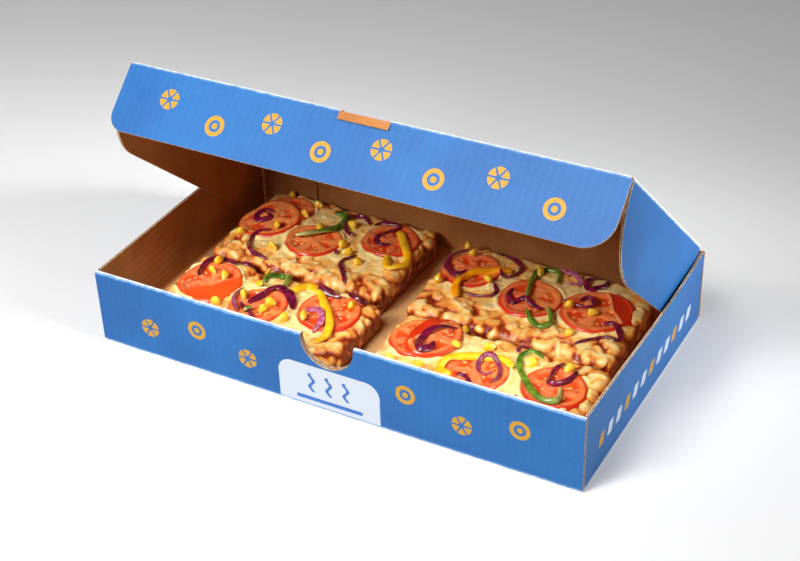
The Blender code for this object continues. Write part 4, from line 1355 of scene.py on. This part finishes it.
ONIONS = {
    "back_left": [
        [(-166, 69), (-175, 71), (-179, 62), (-172, 55), (-164, 61), (-170, 66)],
        [(-153, 46), (-163, 38), (-162, 24), (-152, 11), (-133, 7)],
        [(-102, 88), (-101, 98), (-93, 102), (-82, 94)],
        [(-76, 90), (-72, 97), (-55, 98), (-66, 79), (-60, 68), (-49, 70)],
        [(-68, 46), (-75, 30), (-66, 18), (-55, 3)],
    ],
    "front_left": [
        [(-169, -43), (-173, -30), (-172, -17), (-163, -11), (-147, -17)],
        [(-72, -51), (-79, -40), (-89, -32), (-100, -29), (-106, -42), (-109, -59)],
        [(-125, -40), (-126, -49), (-122, -60), (-112, -69)],
        [(-63, -47), (-57, -41), (-48, -46), (-42, -56), (-42, -69)],
        [(-57, -9), (-65, -10), (-67, -16), (-59, -19), (-45, -20)],
    ],
    "back_right": [
        [(19, 93), (8, 84), (6, 73), (10, 60), (23, 53), (30, 60)],
        [(45, 99), (56, 96), (65, 88), (66, 77), (59, 68), (53, 73)],
        [(55, 57), (62, 47), (56, 38), (39, 36)],
        [(73, 57), (73, 47), (81, 37), (88, 44), (108, 37)],
        [(96, 100), (109, 97), (119, 88), (109, 81)],
        [(129, 100), (122, 93), (129, 81), (138, 91), (139, 100)],
        [(128, 62), (134, 69), (141, 62), (134, 55), (116, 56)],
        [(156, 41), (165, 44), (173, 37), (176, 27), (163, 26), (145, 11)],
    ],
    "front_right": [
        [(59, -17), (48, -22), (42, -33), (42, -48), (48, -59), (54, -53), (52, -42)],
        [
            (107, -54), (104, -59), (98, -57), (93.5, -50), (94, -43), (99, -39.5), (106, -43), (112, -50.5),
            (114, -60), (112, -68),
        ],
        [(151, -16), (148, -30), (149, -44), (155, -48), (162, -39), (165, -24)],
    ],
}
for kind, table in (("green", GREEN_PEPPERS), ("yellow", YELLOW_PEPPERS), ("onion", ONIONS)):
    print(kind, sum(len(rows) for rows in table.values()), "strips")


# %% Finishes: peppers and onion
def pepper(name, skin_low, skin_high, flesh):
    """Shiny skin on one side, paler flesh on the other and at pale ends, blistered a little."""
    f = soft_food(name, 0.3, 0.12, 1.5 * MM, Coat_Weight=0.6, Coat_Roughness=0.1)
    face, pale = f.field("face"), f.field("pale")
    skin = f.mix(f.between(f.spots(160, 3.0), 0.32, 0.7), skin_low, skin_high)
    f.colour(f.mix(f.between(face, 0.05, -0.45).math("MAXIMUM", pale), skin, flesh))
    f.bump((f.spots(380, 3.0), 0.22 * MM))
    return f.material


def red_onion():
    """Purple on the outer face and edges, pink and glassy on the inner one, in fine lines."""
    f = soft_food("red onion", 0.32, 0.2, 1.2 * MM, Coat_Weight=0.6, Coat_Roughness=0.1)
    face, pale = f.field("face"), f.field("pale")
    skin = f.mix(f.between(f.spots(260, 3.0), 0.35, 0.68), light(70, 8, 36), light(144, 18, 70))
    glassy = f.mix(f.between(f.spots(300, 3.0), 0.35, 0.7), light(186, 70, 122), light(232, 160, 184))
    side = f.between(f.spots(200, 2.0) * 0.5 + face, 0.3, -0.5, 0.0, 0.8)
    ring = f.mix(side, skin, light(166, 40, 94))
    f.colour(f.mix(pale, ring, glassy))
    f.bump((f.spots(600, 3.0, stretch=(1.0, 1.0, 0.3)), 0.15 * MM))
    return f.material


green_finish = pepper("green pepper", light(52, 94, 18), light(112, 150, 38), light(206, 214, 130))
yellow_finish = pepper("yellow pepper", light(255, 184, 12), light(255, 214, 46), light(255, 222, 96))
orange_finish = pepper("ripe yellow pepper", light(255, 148, 6), light(255, 178, 18), light(255, 200, 60))
onion_finish = red_onion()


# %% Carry a section along a bent line
def smooth_line(bends, step):
    """Even steps along a Catmull-Rom curve through the bends, given and returned in metres."""
    bends = np.array([bends[0], *bends, bends[-1]], float) * MM
    t = np.linspace(0, 1, 40, endpoint=False)[:, None]
    pieces = [
        (2 * b + (c - a) * t + (2 * a - 5 * b + 4 * c - d) * t ** 2 + (3 * b - a - 3 * c + d) * t ** 3) / 2
        for a, b, c, d in zip(bends, bends[1:], bends[2:], bends[3:])
    ]
    return resampled(np.concatenate(pieces + [bends[-1:]]), step)[0]


def evened(values, passes):
    """A row of numbers with each shared between its neighbours, ends kept."""
    for _ in range(passes):
        shared = (values[:-2] + 2 * values[1:-1] + values[2:]) / 4
        values = np.concatenate([values[:1], shared, values[-1:]])
    return values


def strip_grid(bends, width, thick, roll, twist, seed, sunk=0.5 * MM, hollow=0.0, taper=0.35, swell=0.0):
    """A section of width by thick along a line laid on the heap.

    section(a) = W/2 cos a |cos a|^-0.4 across, T/2 sin a |sin a|^-0.4 along the face, and a
    bow of hollow * across^2 that makes a trough of it
    """
    line = smooth_line(bends, 0.9 * MM)
    along = np.linspace(0, 1, len(line))
    roll = roll + twist * (along - 0.5) + 0.25 * np.sin(along * 9 + seed)
    ahead = np.gradient(line, axis=0)
    ahead = ahead / np.linalg.norm(ahead, axis=1, keepdims=True)
    left = np.stack([-ahead[:, 1], ahead[:, 0]], axis=1)
    half = np.abs(np.cos(roll)) * width / 2
    tops = np.max([heap.at(*(line + left * half[:, None] * k).T) for k in (-0.8, 0, 0.8)], axis=0)
    stand = np.abs(np.sin(roll)) * width / 2 + np.abs(np.cos(roll)) * thick / 2
    z = evened(tops, 14) + evened(stand, 6) - sunk
    angle = np.linspace(0, math.tau, 17)[None]
    narrow = np.minimum(1, taper + (1 - taper) * np.sqrt(np.minimum(along, 1 - along) / 0.12))
    narrow[[0, -1]] = 0.02
    narrow[[1, -2]] *= 0.72
    c, s = np.cos(angle), np.sin(angle)
    uneven = 1 + (0.08 * np.sin(along * 23 + seed) - swell * (1 - 2 * along) ** 2)[:, None]
    w = width / 2 * np.sign(c) * np.abs(c) ** 0.7 * (narrow[:, None] * uneven)
    t = thick / 2 * np.sign(s) * np.abs(s) ** 0.75 * narrow[:, None] ** 0.8
    t = t - hollow * w ** 2 / (width / 2)
    side = np.cos(roll)[:, None] * w - np.sin(roll)[:, None] * t
    up = np.sin(roll)[:, None] * w + np.cos(roll)[:, None] * t
    points = stack(line[:, :1] + left[:, :1] * side, line[:, 1:] + left[:, 1:] * side, z[:, None] + up)
    return points, s * np.ones_like(w)


def strip_piece(kind, place, bends, finish, width, thick, roll, twist, seed, pale=0.0, pale_end=0.0, **shape):
    """A pepper or onion strip as a piece, stamped into the heap. Its last end may be paler."""
    points, face = strip_grid(bends, width, thick, roll, twist, seed, **shape)
    heap.stamp(points)
    tint = pale + pale_end * smoothstep(0.65, 1.0, np.linspace(0, 1, len(points)))[:, None]
    make_piece(
        f"strip_{kind}_{place}", [grid(points, 0, face=face, pale=tint)], [finish], "tray",
        [f"{kind}_{place}"], fields=("face", "pale"),
    )


# %% Lay the strips
# How pale the last end of the green strips is, and their widths in mm.
GREEN_ENDS = {"back_left": 0.9, "front_left": 0.2, "back_right": 0.3, "front_right": 0.7}
GREEN_WIDTHS = {"back_left": (9.0,), "front_left": (6.0,), "back_right": (4.6, 4.8), "front_right": (5.6,)}
# Width in mm, how pale and how far rolled over, for onion strips that differ from the rest.
ODD_ONIONS = {
    "front_left_2": (8.6, 0.0, 0.15), "front_left_3": (4.5, 0.35, 0.5), "front_left_4": (5.8, 0.7, 0.4),
    "back_right_5": (5.0, 0.7, 0.4), "back_left_1": (5.6, 0.0, 0.3), "front_right_1": (6.6, 0.0, 0.3),
    "front_right_2": (4.2, 0.15, 0.5),
}
rng = np.random.default_rng(7)
for place, rows in YELLOW_PEPPERS.items():
    for number, bends in enumerate(rows, 1):
        finish = orange_finish if place == "back_right" else yellow_finish
        strip_piece(
            "yellow_pepper", f"{place}_{number}", bends, finish, 7.8 * MM, 3.6 * MM, 0.1, 0.5, number,
            hollow=0.25,
        )
for place, rows in GREEN_PEPPERS.items():
    for number, (bends, width) in enumerate(zip(rows, GREEN_WIDTHS[place]), 1):
        strip_piece(
            "green_pepper", f"{place}_{number}", bends, green_finish, width * MM, 3.6 * MM, 0.35, 0.7, number,
            pale_end=GREEN_ENDS[place], hollow=0.3, swell=0.4,
        )
for place, rows in ONIONS.items():
    for number, bends in enumerate(rows, 1):
        plain = rng.uniform(4.0, 5.2), 0.0, rng.uniform(0.3, 1.0)
        width, pale, roll = ODD_ONIONS.get(f"{place}_{number}", plain)
        strip_piece(
            "red_onion", f"{place}_{number}", bends, onion_finish, width * MM, 2.0 * MM, roll,
            rng.uniform(-0.6, 0.6), number, pale=pale, swell=0.3,
        )

# %% [markdown]
# ## Corn and small bits
# Sweetcorn kernels are blunt teeth: broad and domed on top, pinched below, with a dimple.
# Small bits of onion and pepper are short strips.

# %% Corn kernels
CORN = [
    (-176, 33), (-152, 53), (-138, 24), (-139, 79), (-86, 54), (-61, 36), (-95, 84), (-116, 67),
    (-173, 111), (-138, 100), (-76, 44), (-165, -17), (-162, -31), (-148, -34), (-118, -51), (-93, -50),
    (-93, -61), (-73, -63), (-58, -56), (-32, -24), (-136, -66), (12, 98), (22, 86), (13, 40), (50, 56),
    (125, 51), (145, 50), (138, 20), (83, 87), (60, -8), (91, -26), (67, -35), (129, -31), (158, -26),
    (29, -71), (52, -70), (-172, -90), (-131, -92), (-84, -91), (-56, -93), (31, -92), (74, -91),
    (122, -92), (170, -90),
]


def corn_yellow():
    """Warm yellow, paler and waxier towards the pinched end."""
    f = soft_food("sweetcorn", 0.3, 0.25, 2.0 * MM, Coat_Weight=0.5, Coat_Roughness=0.12)
    tip = f.field("tip")
    body = f.mix(f.between(f.spots(200, 2.0), 0.35, 0.7), light(255, 190, 26), light(255, 222, 62))
    f.colour(f.mix(f.between(tip, 0.55, 1.0, 0.0, 0.7), body, light(252, 222, 120)))
    f.bump((f.spots(500, 2.0), 0.12 * MM))
    return f.material


def kernel(rng, x, y):
    """A squared, pinched ball: width shrinks by half from crown to tip, crown dented."""
    polar, turn = np.linspace(0, math.pi, 11)[:, None], np.linspace(0, math.tau, 17)[None]
    down = (1 - np.cos(polar)) / 2
    ring = np.sin(polar) ** 0.75 * (1 - 0.42 * down ** 1.5)
    squared = 1 + 0.09 * np.cos(4 * turn)
    a = 3.9 * ring * np.cos(turn) * squared
    b = 2.8 * ring * np.sin(turn) * squared
    c = 4.3 * np.cos(polar) - 0.7 * np.exp(-(ring / 0.5) ** 2) * (polar < 1)
    local = stack(a, b, c) * MM * rng.uniform(1.02, 1.22)
    heading, tilt, spin = rng.uniform(0, math.tau), rng.uniform(0.7, 1.7), rng.uniform(-0.5, 0.5)
    turned = Matrix.Rotation(heading, 3, "Z") @ Matrix.Rotation(tilt, 3, "Y") @ Matrix.Rotation(spin, 3, "Z")
    local = local @ np.array(turned).T
    x, y = x * MM, y * MM
    rest = heap.at(np.array([x]), np.array([y]), 3)[0]
    points = local + np.array([x, y, rest - local[..., 2].min() - 1.3 * MM])
    heap.stamp(points)
    return grid(points, 0, tip=down)


rng = np.random.default_rng(23)
kernels = [kernel(rng, x, y) for x, y in CORN]
make_piece("corn_kernels", kernels, [corn_yellow()], "tray", fields=("tip",))

# %% Small bits of onion and pepper
ONION_BITS = [
    [(-152, -3), (-146, -8), (-135, -4)], [(-101, 84), (-96, 76), (-86, 71)],
    [(-46, -6), (-38, -12), (-29, -13), (-28, -7)], [(-115, -61), (-105, -66), (-95, -73)],
    [(126, -7), (113, -6), (111, -16), (115, -20)], [(83, -66), (91, -67), (99, -74)],
    [(133, -71), (138, -74)], [(-88, 44), (-84, 40)], [(-152, -88), (-144, -92), (-138, -89)],
    [(-104, -90), (-96, -87), (-90, -91)], [(-40, -90), (-34, -93)], [(50, -91), (58, -88), (64, -92)],
    [(98, -90), (106, -92)], [(146, -88), (153, -92)],
]
GREEN_BITS = [[(-102, -63), (-106, -71)]]
YELLOW_BITS = [[(-123, -10), (-117, -13)], [(-120, -28), (-112, -33)]]


def bits(name, rows, finish, width, thick):
    """All the short strips of one kind as one piece."""
    grids = []
    for number, bends in enumerate(rows):
        points, face = strip_grid(bends, width, thick, 0.6, 0.5, number)
        heap.stamp(points)
        grids.append(grid(points, 0, face=face))
    make_piece(name, grids, [finish], "tray", fields=("face", "pale"))


bits("small_bits_of_onion", ONION_BITS, onion_finish, 3.4 * MM, 1.9 * MM)
bits("small_bits_of_green_pepper", GREEN_BITS, green_finish, 5 * MM, 3 * MM)
bits("small_bits_of_yellow_pepper", YELLOW_BITS, yellow_finish, 5.6 * MM, 3.2 * MM)

# %% [markdown]
# ## Camera, light and floor
# The camera looks at the middle of the box from the front right, a little above. Its place
# is a distance, a heading and a height angle. Two soft lamps stand in front, the key on the
# left and a higher one near the middle. Two small ones on the right open up the side wall
# and the lid's side flap, and the pale surroundings fill the shade.

# %% Camera
TARGET = np.array([-0.7, 0.0, 47.3]) * MM
HEADING, HEIGHT_ANGLE, ROLL = math.radians(29.735), math.radians(33.412), math.radians(-1.989)
DISTANCE, FOCAL_MM, SENSOR_MM = 1.2594, 70.964, 36.0

level = np.array([math.cos(HEADING), math.sin(HEADING), 0.0])
ahead = np.array([math.sin(HEADING), -math.cos(HEADING), 0.0])
toward = ahead * math.cos(HEIGHT_ANGLE) + np.array([0.0, 0.0, math.sin(HEIGHT_ANGLE)])
upward = np.cross(toward, level)
side_way = level * math.cos(ROLL) + upward * math.sin(ROLL)
up_way = upward * math.cos(ROLL) - level * math.sin(ROLL)
camera_data = bpy.data.cameras.new("camera")
camera_data.lens, camera_data.sensor_width = FOCAL_MM, SENSOR_MM
camera = bpy.data.objects.new("camera", camera_data)
bpy.context.scene.collection.objects.link(camera)
camera.matrix_world = Matrix([
    [side_way[k], up_way[k], toward[k], (TARGET + toward * DISTANCE)[k]] for k in range(3)
] + [[0, 0, 0, 1]])
bpy.context.scene.camera = camera
print("camera at", np.round(camera.matrix_world.translation, 3))

# %% Light and floor
def soft_lamp(name, place, aim, size, power, spread=180):
    """A square lamp that faces a point. spread is how wide its light opens, in degrees."""
    data = bpy.data.lights.new(name, "AREA")
    data.energy, data.size, data.spread = power, size, math.radians(spread)
    lamp = bpy.data.objects.new(name, data)
    bpy.context.scene.collection.objects.link(lamp)
    away = Vector(place) - Vector(aim)
    lamp.location, lamp.rotation_euler = place, away.to_track_quat("Z", "Y").to_euler()


MIDDLE, SIDE_WALL, SIDE_FLAP = (0, 0, 0.05), (0.21, 0.16, 0.17), (0.15, -0.03, 0.14)
soft_lamp("key", (-0.45, -1.10, 0.98), MIDDLE, 0.5, 21)
soft_lamp("high light", (-0.05, -0.75, 1.35), MIDDLE, 0.5, 14.4)
soft_lamp("right light", (0.95, -0.11, 0.62), SIDE_FLAP, 0.3, 0.5, 50)
soft_lamp("side light", (0.90, 0.35, 0.45), SIDE_WALL, 0.3, 0.55, 25)
world = bpy.data.worlds.new("pale room")
bpy.context.scene.world = world
world.use_nodes = True
background = world.node_tree.nodes["Background"]
background.inputs["Color"].default_value = (1.0, 1.0, 1.0, 1.0)
background.inputs["Strength"].default_value = 0.11
bpy.context.scene.view_settings.view_transform = "Standard"

floor_finish = Finish("pale floor", Roughness=0.6)
floor_finish.colour(floor_finish.mix(floor_finish.spots(3), light(214, 214, 214), light(222, 222, 222)))
floor = bpy.data.meshes.new("floor")
floor.from_pydata([(-4, -4, 0), (4, -4, 0), (4, 4, 0), (-4, 4, 0)], [], [(0, 1, 2, 3)])
floor.materials.append(floor_finish.material)
floor_object = bpy.data.objects.new("floor", floor)
bpy.context.scene.collection.objects.link(floor_object)
floor_object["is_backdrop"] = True

# %% [markdown]
# Last, the size of the finished picture model is printed beside the CAD's.

# %% Measure and finish
seen_box = [list(corner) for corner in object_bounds()]
for name, box in (("CAD", cad_box), ("scene", seen_box)):
    print(name, "box in mm:", np.round(np.array(box) / MM, 1).tolist())
